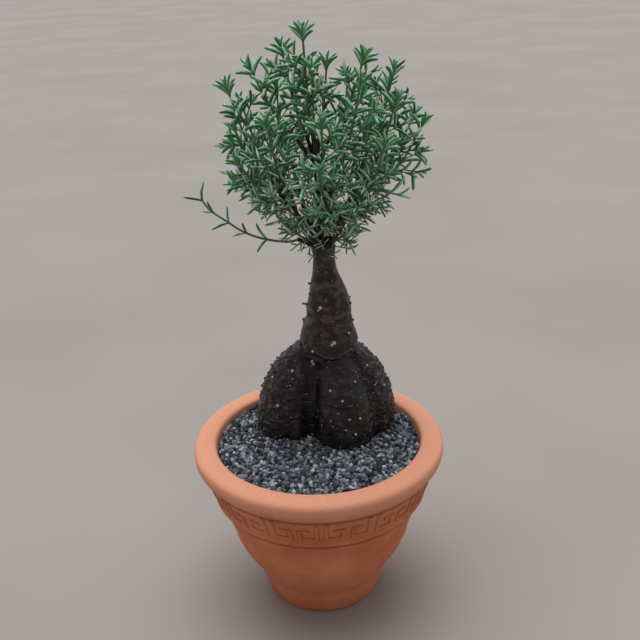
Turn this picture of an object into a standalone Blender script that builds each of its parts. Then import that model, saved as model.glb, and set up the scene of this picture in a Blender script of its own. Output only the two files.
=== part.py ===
"""Potted mestoklema: a lobed, swollen caudex with a round crown of finger leaves, in a bell pot.

The origin is the middle of the pot's foot on the ground, +Z is up, and the side of the plant
that is looked at faces -Y. The constants are in millimetres, and MM turns them into metres.
"""

import math
import random

import bmesh
import bpy
import numpy as np
from mathutils import Matrix, Vector, noise
from mathutils.geometry import delaunay_2d_cdt

# Units and clearances
MM = 0.001
CLEAR = 0.4
UP = Vector((0.0, 0.0, 1.0))
ACROSS = Vector((1.0, 0.0, 0.0))
QUARTER = math.pi / 2

# Bell pot of fired clay, all the way round in SIDES flats
SIDES = 40
POT_HEIGHT = 128.0
RIM_RADIUS = 90.0
MOUTH_RADIUS = 74.1
FOOT_RADIUS = 40.2
HOLE_RADIUS = 7.0
FLOOR = 11.0
RECESS = 2.0
BAND_LOW = (77.2, 91.3)
BAND_HIGH = (83.9, 110.6)
RIM_OUTLINE = ((MOUTH_RADIUS, 126.6), (76.5, POT_HEIGHT), (84.0, POT_HEIGHT), (88.4, 126.8),
               (RIM_RADIUS, 124.4), (RIM_RADIUS, 118.6), (88.4, 115.8), (85.2, 111.8))
BODY_OUTLINE = ((78.0, 89.3), (77.6, 87.0), (75.4, 85.4), (68.7, 69.5), (64.2, 53.8), (61.5, 45.5),
                (51.9, 29.5), (47.1, 21.6), (45.9, 18.5), (45.2, 11.5), (41.6, 1.6))
FOOT_OUTLINE = ((FOOT_RADIUS, 0.0), (34.0, 0.0), (32.6, RECESS), (HOLE_RADIUS, RECESS))
INNER_WALL = ((39.0, FLOOR), (56.0, 46.0), (69.3, 92.0), (MOUTH_RADIUS, 126.6))

# Fret band under the rim: square hooks in mirrored pairs, raised from the wall
HOOKS = 28
STROKE = 2.0
STROKE_RELIEF = 1.1
STROKE_SUNK = 0.7
HOOK_TALL = 3.4
HOOK_SHORT = 15.4
HOOK_END = 8.6
HOOK_FOOT = 93.8
HOOK_BAR = 101.6
HOOK_TOP = 109.3

# Filling of the pot
SOIL_TOP = 112.0
GRAVEL_FLOOR = SOIL_TOP + 0.3
GRAVEL_EDGE = 122.6
STONE_TOP = 124.3
STONE_DIP = 2.6
STONE_PITCH = 11.2
STONE_STRAY = 2.6
STONE_LIFT = (-0.8, 0.3)
DIP_MARGIN = 3.0
ROW_STEP = math.sqrt(0.75)

# Caudex, grown round one axis: lobes as (x, y, z of the widest place, half width, half depth,
# height above that place). The last one is the core that the others grew from.
CAUDEX_AXIS = (8.0, 24.0)
CAUDEX_BASE = 88.0
LOBES = (
    (-21.5, 25.5, 124.0, 24.0, 25.0, 68.0),
    (20.0, 9.5, 126.0, 22.5, 26.0, 63.0),
    (36.5, 27.0, 131.0, 21.0, 23.5, 61.0),
    (22.0, 46.0, 126.0, 20.0, 20.0, 66.0),
    (-8.0, 48.0, 126.0, 20.0, 18.5, 66.0),
    (8.0, 30.0, 122.0, 37.0, 27.5, 80.0),
)
LOBE_BELOW = 50.0
LOBE_LEAN = 0.5
LOBE_SHARPNESS = 20.0
TRUNK_TOP = 268.0
# Trunk sections from the ground up: height, middle x, middle y, radius
TRUNK = ((88.0, 8.0, 28.0, 17.0), (160.0, 8.0, 26.0, 18.0), (177.0, 9.0, 24.0, 18.6),
         (186.0, 9.8, 23.0, 20.2), (197.0, 10.0, 22.5, 19.8), (205.0, 10.0, 22.5, 18.0),
         (214.0, 10.5, 22.0, 16.3), (224.0, 11.1, 21.5, 15.0), (232.0, 10.7, 21.0, 12.9),
         (240.0, 9.8, 20.5, 10.8), (247.0, 8.9, 20.0, 8.6), (258.0, 8.7, 20.0, 7.3),
         (265.0, 8.4, 20.0, 8.6), (TRUNK_TOP, 8.4, 20.0, 7.6))
CAUDEX_COLUMNS = 32
CAUDEX_ROWS = 24
LUMP = 0.9
LUMP_SIZE = 13.0
LUMP_FULL = 20.0

# Crown: shoot tips that make its outline, as (x, y, z), all others fill an ellipsoid
CROWN = (11.0, 20.0, 338.0)
CROWN_RADII = (66.0, 62.0, 64.0)
HEAD = (8.5, 20.0, 262.0)
OUTLINE_TIPS = (
    (0, 14, 407), (-14, 26, 397), (-34, 14, 387), (-50, 22, 374), (5, -4, 388), (15, 38, 385),
    (38, 12, 391), (58, 26, 381), (57, 0, 366), (73, 36, 350), (76, 12, 349), (62, 26, 334),
    (51, 0, 318), (40, 32, 307), (30, 6, 294), (-46, 14, 348), (-45, 34, 334), (-41, 8, 313),
    (-27, 24, 301),
)
# Short shoots that start at the trunk's head
LOW_TIPS = ((27, 10, 281), (-14, 32, 276), (24, 36, 284), (4, 44, 284))
LOW_REACH = 0.45
FILL_TIPS = 18
FILL_CHOICES = 400
FILL_LOWEST = HEAD[2] + 42.0
LIMBS = 9
LIMB_REACH = 0.44
LIMB_SAG = -0.04
STUB_REACH = 0.30
LIMB_RADIUS = (2.6, 1.8)
STUB_RADIUS = (0.7, 1.2)
KNOT = 3.0
KNOT_TAPER = 0.7
# One long twig hangs out to the left below the crown, through these points
LOW_TWIG = ((-8, 12, 273), (-16, 8, 273), (-31, 4, 277), (-44, 2, 283), (-55, 2, 291), (-65, 4, 298),
            (-71, 6, 306))
CROWN_LIMIT = 88.0

# Shoots and leaves
SEED = 11
STEM_RADIUS = (1.15, 0.95)
STEM_SAG = (-0.22, -0.11)
STEM_MARGIN = 0.8
SHOOT_RADIUS = (0.55, 0.75)
SHOOT_STARTS = (0.42, 0.66)
SHOOT_LENGTH = (15.0, 21.0)
SHOOT_LEAN = math.radians(46.0)
LEAF_LENGTH = (13.5, 16.0)
LEAF_RADII = (0.2, 1.4, 0.02)
POINT = 0.05
LEAF_ARCH = 16.0
LEAF_BEND = 0.55
LEAF_SWINGS = (0.0, 12.0, -12.0, 24.0)
LEAF_GAP = 0.45
# Leaf pairs at a stem's tip: set back, turn in quarters, lean in degrees, size
TIP_PAIRS = ((6.0, 0.5, 58.0, 1.0), (2.0, 1.5, 38.0, 0.8))
# One pair in the middle of a stem: share of its length, least share, lean, size
STEM_PAIR = (0.84, 0.55, 60.0, 0.95)
# The pair at a side shoot's tip, and those along the low twig: set back, lean, size
SHOOT_PAIR = (2.4, 50.0, 0.92)
TWIG_PAIR = (2.5, 58.0, 0.95)
TWIG_TIP_LEAN = 45.0

COLOURS = {
    "terracotta": ((0.50, 0.20, 0.12), 0.75),
    "potting_soil": ((0.045, 0.030, 0.022), 0.95),
    "grit": ((0.13, 0.14, 0.16), 0.85),
    "caudex_bark": ((0.030, 0.019, 0.015), 0.70),
    "leaf_green": ((0.035, 0.16, 0.055), 0.45),
}


def clear_scene():
    for old in list(bpy.data.objects):
        bpy.data.objects.remove(old, do_unlink=True)


def new_collection(name):
    made = bpy.data.collections.new(name)
    bpy.context.scene.collection.children.link(made)
    return made


def material(name):
    colour, roughness = COLOURS[name]
    made = bpy.data.materials.get(name)
    if made is None:
        made = bpy.data.materials.new(name)
        made.use_nodes = True
        shader = made.node_tree.nodes["Principled BSDF"]
        shader.inputs["Base Color"].default_value = (*colour, 1.0)
        shader.inputs["Roughness"].default_value = roughness
    return made


def add_object(name, mesh, collection, finish=None):
    made = bpy.data.objects.new(name, mesh)
    collection.objects.link(made)
    if finish:
        mesh.materials.append(material(finish))
    return made


def mesh_from(bm, name):
    bmesh.ops.recalc_face_normals(bm, faces=bm.faces)
    mesh = bpy.data.meshes.new(name)
    bm.to_mesh(mesh)
    bm.free()
    return mesh


def helper(made):
    """Marks an object as a cutter or a guide."""
    made.hide_render = True
    made.display_type = "WIRE"
    return made


def applied(made):
    """Replaces the object's mesh by what its modifiers make of it."""
    graph = bpy.context.evaluated_depsgraph_get()
    mesh = bpy.data.meshes.new_from_object(made.evaluated_get(graph))
    made.modifiers.clear()
    made.data = mesh
    return made


def between(pairs, height):
    """Radius at a height on an outline of (radius, height) points that climbs."""
    return float(np.interp(height, [z for _, z in pairs], [r for r, _ in pairs]))


def turned(name, outline, collection, finish, closed):
    """Turns an outline of (radius, height) points round the Z axis."""
    bm = bmesh.new()
    points = [bm.verts.new((r * MM, 0.0, z * MM)) for r, z in outline]
    for first, second in zip(points, points[1:]):
        bm.edges.new((first, second))
    if closed:
        bm.edges.new((points[-1], points[0]))
    mesh = bpy.data.meshes.new(name)
    bm.to_mesh(mesh)
    bm.free()
    made = add_object(name, mesh, collection, finish)
    screw = made.modifiers.new("turn", "SCREW")
    screw.axis = "Z"
    screw.steps = SIDES
    screw.render_steps = SIDES
    screw.use_merge_vertices = True
    screw.merge_threshold = 0.00001
    return made


def hook_outline(index):
    """One hook laid flat: down the tall side, along the foot, up the short side and back inwards."""
    half = STROKE / 2
    pitch = 2 * math.pi * BAND_HIGH[0] / HOOKS
    line = (
        (HOOK_TALL - half, HOOK_TOP), (HOOK_TALL - half, HOOK_FOOT - half),
        (HOOK_SHORT + half, HOOK_FOOT - half), (HOOK_SHORT + half, HOOK_BAR + half),
        (HOOK_END, HOOK_BAR + half), (HOOK_END, HOOK_BAR - half),
        (HOOK_SHORT - half, HOOK_BAR - half), (HOOK_SHORT - half, HOOK_FOOT + half),
        (HOOK_TALL + half, HOOK_FOOT + half), (HOOK_TALL + half, HOOK_TOP),
    )
    if index % 2:
        return [((index + 1) * pitch - along, height) for along, height in line]
    return [(index * pitch + along, height) for along, height in line]


def fret_mesh():
    """All hooks as flat raised outlines, then wrapped round the sloping wall of the band."""
    curve = bpy.data.curves.new("fret", "CURVE")
    curve.dimensions = "2D"
    curve.fill_mode = "BOTH"
    curve.extrude = (STROKE_RELIEF + STROKE_SUNK) / 2
    for index in range(HOOKS):
        outline = hook_outline(index)
        spline = curve.splines.new("POLY")
        spline.points.add(len(outline) - 1)
        for point, (along, height) in zip(spline.points, outline):
            point.co = (along, height, 0.0, 1.0)
        spline.use_cyclic_u = True
    flat = bpy.data.objects.new("fret_flat", curve)
    bpy.context.scene.collection.objects.link(flat)
    graph = bpy.context.evaluated_depsgraph_get()
    mesh = bpy.data.meshes.new_from_object(flat.evaluated_get(graph))
    bpy.data.objects.remove(flat, do_unlink=True)
    bm = bmesh.new()
    bm.from_mesh(mesh)
    bmesh.ops.remove_doubles(bm, verts=bm.verts, dist=0.001)
    for vert in bm.verts:
        angle = vert.co.x / BAND_HIGH[0] - math.pi / 2
        lift = vert.co.z + (STROKE_RELIEF - STROKE_SUNK) / 2
        radius = between((BAND_LOW, BAND_HIGH), vert.co.y) + lift
        vert.co = Vector((radius * math.cos(angle), radius * math.sin(angle), vert.co.y)) * MM
    return mesh_from(bm, "fret")


def add_pot(parts, cutters):
    """Thick-walled bell pot with a rolled rim, a drain hole and the raised fret band."""
    outline = (*RIM_OUTLINE, BAND_HIGH, BAND_LOW, *BODY_OUTLINE, *FOOT_OUTLINE,
               (HOLE_RADIUS, FLOOR), *INNER_WALL[:-1])
    pot = turned("pot", outline, parts, "terracotta", closed=True)
    fret = helper(add_object("fret", fret_mesh(), cutters))
    join = pot.modifiers.new("fret", "BOOLEAN")
    join.operation = "UNION"
    join.object = fret
    pot.data.shade_smooth()
    return pot


def slice_reach(angle, centre, half_width, half_depth):
    """How far a flat ellipse reaches from the caudex axis along an angle, 0 where it is missed."""
    if half_width <= 0.0:
        return 0.0
    dx, dy = math.cos(angle) / half_width, math.sin(angle) / half_depth
    ox = (CAUDEX_AXIS[0] - centre[0]) / half_width
    oy = (CAUDEX_AXIS[1] - centre[1]) / half_depth
    a, b, c = dx * dx + dy * dy, ox * dx + oy * dy, ox * ox + oy * oy - 1.0
    under = b * b - a * c
    return max((math.sqrt(under) - b) / a, 0.0) if under > 0.0 else 0.0


def caudex_reach(angle, height):
    """Radius of the caudex about its axis: the lobes and the trunk melted into one another."""
    level = min(max(height, TRUNK[0][0]), TRUNK[-1][0])
    rows = list(zip(*TRUNK))
    x, y, radius = (float(np.interp(level, rows[0], row)) for row in rows[1:])
    reach = [slice_reach(angle, (x, y), radius, radius)]
    for x, y, z, half_width, half_depth, rise in LOBES:
        share = (height - z) / (rise if height > z else LOBE_BELOW)
        scale = math.sqrt(max(1.0 - share * share, 0.0))
        lean = LOBE_LEAN * max(share, 0.0) ** 2
        middle = (x + (CAUDEX_AXIS[0] - x) * lean, y + (CAUDEX_AXIS[1] - y) * lean)
        reach.append(slice_reach(angle, middle, half_width * scale, half_depth * scale))
    melted = sum(r ** LOBE_SHARPNESS for r in reach) ** (1.0 / LOBE_SHARPNESS)
    place = Vector((melted * math.cos(angle), melted * math.sin(angle), height)) / LUMP_SIZE
    return melted + LUMP * noise.noise(place) * min(melted / LUMP_FULL, 1.0)


def caudex_body(extra=0.0):
    """A sphere's grid pulled onto the caudex, or onto a pit that is wider by extra."""
    bm = bmesh.new()
    bmesh.ops.create_uvsphere(bm, u_segments=CAUDEX_COLUMNS, v_segments=CAUDEX_ROWS, radius=1.0)
    low, high = CAUDEX_BASE - extra, TRUNK_TOP + extra
    for vert in bm.verts:
        share = math.acos(max(-1.0, min(1.0, -vert.co.z))) / math.pi
        height = low + (high - low) * share
        across = math.hypot(vert.co.x, vert.co.y)
        angle = math.atan2(vert.co.y, vert.co.x)
        radius = caudex_reach(angle, height) + extra if across > 1e-4 else 0.0
        vert.co = Vector((CAUDEX_AXIS[0] + radius * math.cos(angle),
                          CAUDEX_AXIS[1] + radius * math.sin(angle), height)) * MM
    bmesh.ops.triangulate(bm, faces=bm.faces, quad_method="FIXED")
    return mesh_from(bm, "caudex")


def add_soil(parts, pit):
    """Soil that fills the pot from its floor, with a pit for the buried part of the caudex."""
    wall = [(r - CLEAR, max(z, FLOOR + CLEAR)) for r, z in INNER_WALL if z < SOIL_TOP]
    wall.append((between(INNER_WALL, SOIL_TOP) - CLEAR, SOIL_TOP))
    outline = [(0.0, SOIL_TOP), *reversed(wall), (0.0, FLOOR + CLEAR)]
    soil = turned("potting_soil", outline, parts, "potting_soil", closed=False)
    cut = soil.modifiers.new("pit", "BOOLEAN")
    cut.operation = "DIFFERENCE"
    cut.object = pit
    return soil


def stone_places():
    """Middles of the stones: rows set like bricks, each stone pushed a little off its place."""
    draw = random.Random(SEED)
    edge = between(INNER_WALL, GRAVEL_EDGE) - CLEAR
    places = []
    rows = int(edge / (STONE_PITCH * ROW_STEP))
    for row in range(-rows, rows + 1):
        for column in range(-rows, rows + 1):
            x = (column + 0.5 * (row % 2)) * STONE_PITCH + draw.uniform(-STONE_STRAY, STONE_STRAY)
            y = row * STONE_PITCH * ROW_STEP + draw.uniform(-STONE_STRAY, STONE_STRAY)
            if math.hypot(x, y) < edge - STONE_PITCH / 2:
                places.append(Vector((x, y)))
    return places


def add_gravel(parts, pit):
    """Bed of grit: every stone is a raised point, with a dip in each gap between three stones."""
    draw = random.Random(SEED + 1)
    top_radius = between(INNER_WALL, GRAVEL_EDGE) - CLEAR
    low_radius = between(INNER_WALL, GRAVEL_FLOOR) - CLEAR
    turns = [2 * math.pi * side / SIDES for side in range(SIDES)]
    ring = [Vector((top_radius * math.cos(turn), top_radius * math.sin(turn))) for turn in turns]
    stones = stone_places()
    spots, _, faces, *_ = delaunay_2d_cdt(ring + stones, [], [list(range(SIDES))], 1, 1e-6)
    bm = bmesh.new()
    verts = []
    for spot in spots:
        inside = spot.length < top_radius - DIP_MARGIN
        height = STONE_TOP + draw.uniform(*STONE_LIFT) if inside else GRAVEL_EDGE
        verts.append(bm.verts.new((spot.x, spot.y, height)))
    for face in faces:
        bm.faces.new([verts[index] for index in face])
    dips = bmesh.ops.poke(bm, faces=bm.faces)["verts"]
    for dip in dips:
        if math.hypot(dip.co.x, dip.co.y) < top_radius - DIP_MARGIN:
            dip.co.z -= STONE_DIP
    border = [edge for edge in bm.edges if edge.is_boundary]
    grown = bmesh.ops.extrude_edge_only(bm, edges=border)["geom"]
    for vert in grown:
        if isinstance(vert, bmesh.types.BMVert):
            vert.co = Vector((vert.co.x, vert.co.y, 0.0)) * (low_radius / top_radius)
            vert.co.z = GRAVEL_FLOOR
    bmesh.ops.edgeloop_fill(bm, edges=[e for e in grown if isinstance(e, bmesh.types.BMEdge)])
    bmesh.ops.scale(bm, vec=(MM, MM, MM), verts=bm.verts)
    gravel = add_object("gravel", mesh_from(bm, "gravel"), parts, "grit")
    cut = gravel.modifiers.new("pit", "BOOLEAN")
    cut.operation = "DIFFERENCE"
    cut.object = pit
    return gravel


def frame_round(along, side):
    """Two directions square to a stem and to one another, the first as near to side as it can be."""
    first = (side - along * side.dot(along)).normalized()
    return first, along.cross(first)


def section(point, along, side, radius):
    """Places a unit circle at a point, square to a direction and with its first corner at side."""
    along = along.normalized()
    first, second = frame_round(along, side)
    turn = Matrix((first, second, along)).transposed().to_4x4()
    return Matrix.Translation(point) @ turn @ Matrix.Scale(radius, 4)


def swept(name, points, radii, sides, side):
    """A capped circle extruded from point to point, with its own radius at each."""
    bm = bmesh.new()
    bmesh.ops.create_circle(bm, cap_ends=True, radius=1.0, segments=sides)
    last = len(points) - 1
    places = []
    for index, (point, radius) in enumerate(zip(points, radii)):
        along = points[min(index + 1, last)] - points[max(index - 1, 0)]
        places.append(section(point * MM, along, side, radius * MM))
    bmesh.ops.transform(bm, matrix=places[0], verts=bm.verts)
    end = bm.faces[:]
    for index, (before, after) in enumerate(zip(places, places[1:])):
        grown = bmesh.ops.extrude_face_region(bm, geom=end)["geom"]
        if index:
            bmesh.ops.delete(bm, geom=end, context="FACES_ONLY")
        verts = [item for item in grown if isinstance(item, bmesh.types.BMVert)]
        bmesh.ops.transform(bm, matrix=after @ before.inverted(), verts=verts)
        end = [item for item in grown if isinstance(item, bmesh.types.BMFace)]
    if radii[-1] < POINT:
        bmesh.ops.pointmerge(bm, verts=end[0].verts, merge_co=points[-1] * MM)
    return mesh_from(bm, name)


def crown_tips():
    """The outline's tips, then tips on an ellipsoid, each as far from the others as can be."""
    tips = [Vector(tip) for tip in OUTLINE_TIPS]
    wide = []
    for index in range(FILL_CHOICES):
        level = 1.0 - 2.0 * (index + 0.5) / FILL_CHOICES
        turn = index * math.pi * (3.0 - math.sqrt(5.0))
        flat = math.sqrt(1.0 - level * level)
        offset = (flat * math.cos(turn), flat * math.sin(turn), level)
        tip = Vector(c + r * o for c, r, o in zip(CROWN, CROWN_RADII, offset))
        if tip.z > FILL_LOWEST:
            wide.append(tip)
    for _ in range(FILL_TIPS):
        best = max(wide, key=lambda tip: min((tip - taken).length for taken in tips))
        tips.append(best)
    return tips


def limb_groups(tips):
    """Tips sorted by the limb that carries them: limbs point as far apart as the tips allow."""
    head = Vector(HEAD)
    ways = [(tip - head).normalized() for tip in tips]
    chosen = [0]
    while len(chosen) < LIMBS:
        chosen.append(min(range(len(ways)), key=lambda i: max(ways[i].dot(ways[c]) for c in chosen)))
    groups = [[] for _ in chosen]
    for tip, way in zip(tips, ways):
        nearest = max(range(LIMBS), key=lambda g: way.dot(ways[chosen[g]]))
        groups[nearest].append(tip)
    return groups


def bent(start, end, sag, steps):
    """Points on a line that hangs below its chord in the middle, as a twig that turns up does."""
    return [start.lerp(end, i / steps) + sag * (4.0 * (i / steps) * (1.0 - i / steps))
            for i in range(steps + 1)]


class Space:
    """Tubes that a new one is kept clear of."""

    def __init__(self):
        self.pieces = []

    def add(self, points, radii):
        for a, b, ra, rb in zip(points, points[1:], radii, radii[1:]):
            self.pieces.append((*a, *b, max(ra, rb)))

    def gap(self, points, radii):
        """Smallest clearance between a new tube and all of these."""
        pieces = np.array(self.pieces)
        starts, ends, thickness = pieces[:, :3], pieces[:, 3:6], pieces[:, 6]
        run = ends - starts
        square = np.maximum((run * run).sum(axis=1), 1e-9)
        smallest = math.inf
        for a, b, ra, rb in zip(points, points[1:], radii, radii[1:]):
            for share in (0.0, 0.25, 0.5, 0.75, 1.0):
                spot = np.array(a.lerp(b, share))
                along = np.clip(((spot - starts) * run).sum(axis=1) / square, 0.0, 1.0)
                away = np.linalg.norm(spot - starts - run * along[:, None], axis=1)
                smallest = min(smallest, float((away - thickness).min()) - max(ra, rb))
        return smallest


def outwards(along, side, turn):
    """Direction that leaves a stem squarely, turned about it from its side."""
    first, second = frame_round(along, side)
    return first * math.cos(turn) + second * math.sin(turn)


def leaf_line(root, along, out, lean, length):
    """Middle line of a finger leaf that leaves its stem steeply and arches outwards to its tip."""
    line = [root]
    for step, angle in enumerate((lean - LEAF_ARCH, lean + LEAF_ARCH)):
        way = along * math.cos(math.radians(angle)) + out * math.sin(math.radians(angle))
        line.append(line[-1] + way * length * (LEAF_BEND, 1.0 - LEAF_BEND)[step])
    return line


def inside_limits(line):
    return all(math.hypot(p.x, p.y) < CROWN_LIMIT for p in line)


def leaf_pair(draw, root, along, side, turn, lean, size, space):
    """Two leaves opposite one another, each left out where it can't be swung clear of other sprays."""
    made = []
    for half in (0.0, math.pi):
        out = outwards(along, side, turn + half)
        length = draw.uniform(*LEAF_LENGTH) * size
        for swing in LEAF_SWINGS:
            line = leaf_line(root, along, out, lean + swing, length)
            if space.gap(line, LEAF_RADII) > LEAF_GAP and inside_limits(line):
                made.append((line, LEAF_RADII, 3, along))
                break
    return made


def on_stem(stem, share):
    """Point on a bent stem of three points, and the direction it grows in there."""
    first = share < 0.5
    low, high = (stem[0], stem[1]) if first else (stem[1], stem[2])
    return low.lerp(high, share * 2.0 - (0.0 if first else 1.0)), (high - low).normalized()


def spray_tubes(draw, stem, space):
    """A stem with two side shoots, and leaf pairs at the ends and along it, as tubes."""
    tip = stem[2]
    run = tip - stem[0]
    side = outwards(run.normalized(), run.orthogonal(), draw.uniform(0.0, math.pi))
    tubes = [(stem, np.linspace(*STEM_RADIUS, 3), 4, side)]
    along = (stem[2] - stem[1]).normalized()
    for back, turn, lean, size in TIP_PAIRS:
        tubes += leaf_pair(draw, tip - along * back, along, side, QUARTER * turn, lean, size, space)
    for index, share in enumerate(SHOOT_STARTS):
        root, along = on_stem(stem, share)
        out = outwards(along, side, QUARTER * (0.5 + index + 2 * draw.randrange(2)))
        way = along * math.cos(SHOOT_LEAN) + out * math.sin(SHOOT_LEAN)
        shoot = [root, root + way * min(draw.uniform(*SHOOT_LENGTH), run.length * 0.5)]
        if space.gap(shoot, SHOOT_RADIUS) < LEAF_GAP or not inside_limits(shoot):
            continue
        tubes.append((shoot, SHOOT_RADIUS, 4, along))
        back, lean, size = SHOOT_PAIR
        tubes += leaf_pair(draw, shoot[1] - way * back, way, along, QUARTER / 2, lean, size, space)
    share, least, lean, size = STEM_PAIR
    root, along = on_stem(stem, max(least, share - TIP_PAIRS[0][0] / run.length))
    tubes += leaf_pair(draw, root, along, side, QUARTER * 1.5, lean, size, space)
    return tubes


def low_twig_tubes(draw, line, space):
    """The long, sparse twig below the crown, with a leaf pair at each of its outer points."""
    tubes = [(line, np.linspace(*STEM_RADIUS, len(line)), 4, UP)]
    back, stem_lean, size = TWIG_PAIR
    for index in range(2, len(line)):
        along = (line[index] - line[index - 1]).normalized()
        lean = stem_lean if index < len(line) - 1 else TWIG_TIP_LEAN
        turn = QUARTER * (0.5 + index)
        tubes += leaf_pair(draw, line[index] - along * back, along, UP, turn, lean, size, space)
    return tubes


def plan_crown():
    """All tubes of the crown: the limbs and stubs that stay with the trunk, and the sprays."""
    draw = random.Random(SEED)
    head = Vector(HEAD)
    wood, starts = [], []
    for group in limb_groups(crown_tips()):
        middle = sum(group, Vector()) / len(group)
        fork = head.lerp(middle, LIMB_REACH)
        limb = [*bent(head, fork, UP * LIMB_SAG * (fork - head).length, 2)]
        knot = limb[-1] + (limb[-1] - limb[-2]).normalized() * KNOT
        radii = (*np.linspace(*LIMB_RADIUS, 3), LIMB_RADIUS[1] * KNOT_TAPER)
        wood.append(([*limb, knot], radii, 4, ACROSS))
        for tip in group:
            end = fork.lerp(tip, STUB_REACH)
            wood.append(([limb[-1], end], STUB_RADIUS, 3, ACROSS))
            starts.append((end, tip))
    for low in LOW_TIPS:
        end = head.lerp(Vector(low), LOW_REACH)
        wood.append(([head, end], STUB_RADIUS, 3, ACROSS))
        starts.append((end, Vector(low)))
    wood.append(([head, Vector(LOW_TWIG[0])], STUB_RADIUS, 3, ACROSS))
    stems = []
    for end, tip in starts:
        foot = end + (tip - end).normalized() * CLEAR
        stems.append(bent(foot, tip, UP * draw.uniform(*STEM_SAG) * (tip - foot).length, 2))
    twig = [Vector(point) for point in LOW_TWIG]
    twig[0] += (twig[1] - twig[0]).normalized() * CLEAR
    stems.append(twig)
    return draw, wood, stems


def around(number, stems, placed):
    """What a spray has to keep clear of: the other stems, and all that is placed."""
    others = Space()
    for index, line in enumerate(stems):
        if index != number:
            others.add(line, [STEM_RADIUS[0] + STEM_MARGIN] * len(line))
    for points, radii, *_ in placed:
        others.add(points, radii)
    return others


def add_crown(parts):
    """Sprays are planned one after another, so that each can keep clear of those before it."""
    draw, wood, stems = plan_crown()
    placed = list(wood)
    for number, line in enumerate(stems):
        space = around(number, stems, placed)
        grow = low_twig_tubes if len(line) > 3 else spray_tubes
        tubes = grow(draw, line, space)
        placed += tubes
        fused(f"spray_{number + 1:02d}", tubes, parts, "leaf_green")
    return wood


def fused(name, tubes, parts, finish, body=None):
    """One solid from a stem, or a given body, and all that grows from it."""
    repeats = bpy.data.collections.new(f"{name}_repeats")
    bpy.context.scene.collection.children.link(repeats)
    first = body or swept(name, *tubes[0])
    for tube in tubes if body else tubes[1:]:
        add_object(f"{name}_repeat", swept(name, *tube), repeats)
    made = add_object(name, first, parts, finish)
    join = made.modifiers.new("fuse", "BOOLEAN")
    join.operation = "UNION"
    join.operand_type = "COLLECTION"
    join.collection = repeats
    join.solver = "MANIFOLD"
    applied(made)
    for repeat in list(repeats.objects):
        bpy.data.objects.remove(repeat, do_unlink=True)
    bpy.data.collections.remove(repeats)
    return made


def build():
    clear_scene()
    parts = new_collection("potted_mestoklema")
    cutters = new_collection("cutters")
    pit = helper(add_object("caudex_pit", caudex_body(CLEAR), cutters))
    add_pot(parts, cutters)
    add_soil(parts, pit)
    add_gravel(parts, pit)
    wood = add_crown(parts)
    fused("caudex", wood, parts, "caudex_bark", body=caudex_body())


build()
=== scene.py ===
# %% [markdown]
# A potted mestoklema, a shrub that stores water in a swollen foot. It stands in a clay pot and
# has grit on its soil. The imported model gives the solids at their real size. This script dresses
# them: it makes finer pieces in the same places and gives each one the finish of the real thing.
# All sizes are in millimetres, and MM turns them into Blender's metres.

# %% Load the frame
import math
import random

import bmesh
import bpy
import numpy as np
from mathutils import Matrix, Vector, noise


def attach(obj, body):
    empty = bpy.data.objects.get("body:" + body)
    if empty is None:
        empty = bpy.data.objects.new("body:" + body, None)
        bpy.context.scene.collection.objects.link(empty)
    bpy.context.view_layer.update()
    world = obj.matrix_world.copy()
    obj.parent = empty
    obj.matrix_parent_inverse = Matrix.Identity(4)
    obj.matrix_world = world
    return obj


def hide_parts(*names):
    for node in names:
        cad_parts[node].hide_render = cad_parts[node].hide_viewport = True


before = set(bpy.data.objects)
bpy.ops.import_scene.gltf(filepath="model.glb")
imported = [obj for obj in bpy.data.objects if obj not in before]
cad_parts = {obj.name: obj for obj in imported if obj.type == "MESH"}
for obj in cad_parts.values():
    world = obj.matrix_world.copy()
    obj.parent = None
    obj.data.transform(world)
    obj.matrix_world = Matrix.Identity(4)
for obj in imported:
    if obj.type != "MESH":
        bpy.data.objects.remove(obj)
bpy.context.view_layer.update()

MM = 0.001

# %% [markdown]
# The camera is a plain one with a 36 mm wide sensor. It looks down on the pot by about 24 degrees
# and leans a little, so that the rim's ellipse, the foot and the trunk fall where they do in the
# photograph.

# %% Camera
CAMERA_PLACE = Vector((4.27, -566.8, 465.5))
CAMERA_DOWN = math.radians(23.56)
CAMERA_LEAN = math.radians(-2.16)
CAMERA_LENS = 50.625

camera = bpy.data.objects.new("camera", bpy.data.cameras.new("camera"))
camera.data.lens = CAMERA_LENS
camera.data.sensor_width = 36.0
camera.data.clip_start = 0.01
camera.matrix_world = (Matrix.Translation(CAMERA_PLACE * MM)
                       @ Matrix.Rotation(math.pi / 2 - CAMERA_DOWN, 4, "X")
                       @ Matrix.Rotation(CAMERA_LEAN, 4, "Z"))
bpy.context.scene.collection.objects.link(camera)
bpy.context.scene.camera = camera
print("camera looks down by", round(math.degrees(CAMERA_DOWN), 1), "degrees")

# %% [markdown]
# Colours are written as sRGB hex values, as a colour picker shows them. Blender's shaders work
# with linear light, so one function turns them. One more adds a node to a tree, with its settings
# and with what feeds its sockets, and gives back its output. So a short chain of nodes can be
# written as one call inside another.


# %% Helpers for colours and nodes
def linear(code):
    """An sRGB hex value as linear red, green, blue and alpha."""
    parts = [int(code[place:place + 2], 16) / 255 for place in (1, 3, 5)]
    return (*(c / 12.92 if c <= 0.04045 else ((c + 0.055) / 1.055) ** 2.4 for c in parts), 1.0)


def feed(tree, node, sockets):
    """A socket takes a value, a hex colour, another node's output, or a list of outputs."""
    for key, value in sockets.items():
        for part in value if isinstance(value, list) else [value]:
            if isinstance(part, bpy.types.NodeSocket):
                tree.links.new(part, node.inputs[key])
            else:
                is_colour = isinstance(part, str) and part.startswith("#")
                node.inputs[key].default_value = linear(part) if is_colour else part


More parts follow.
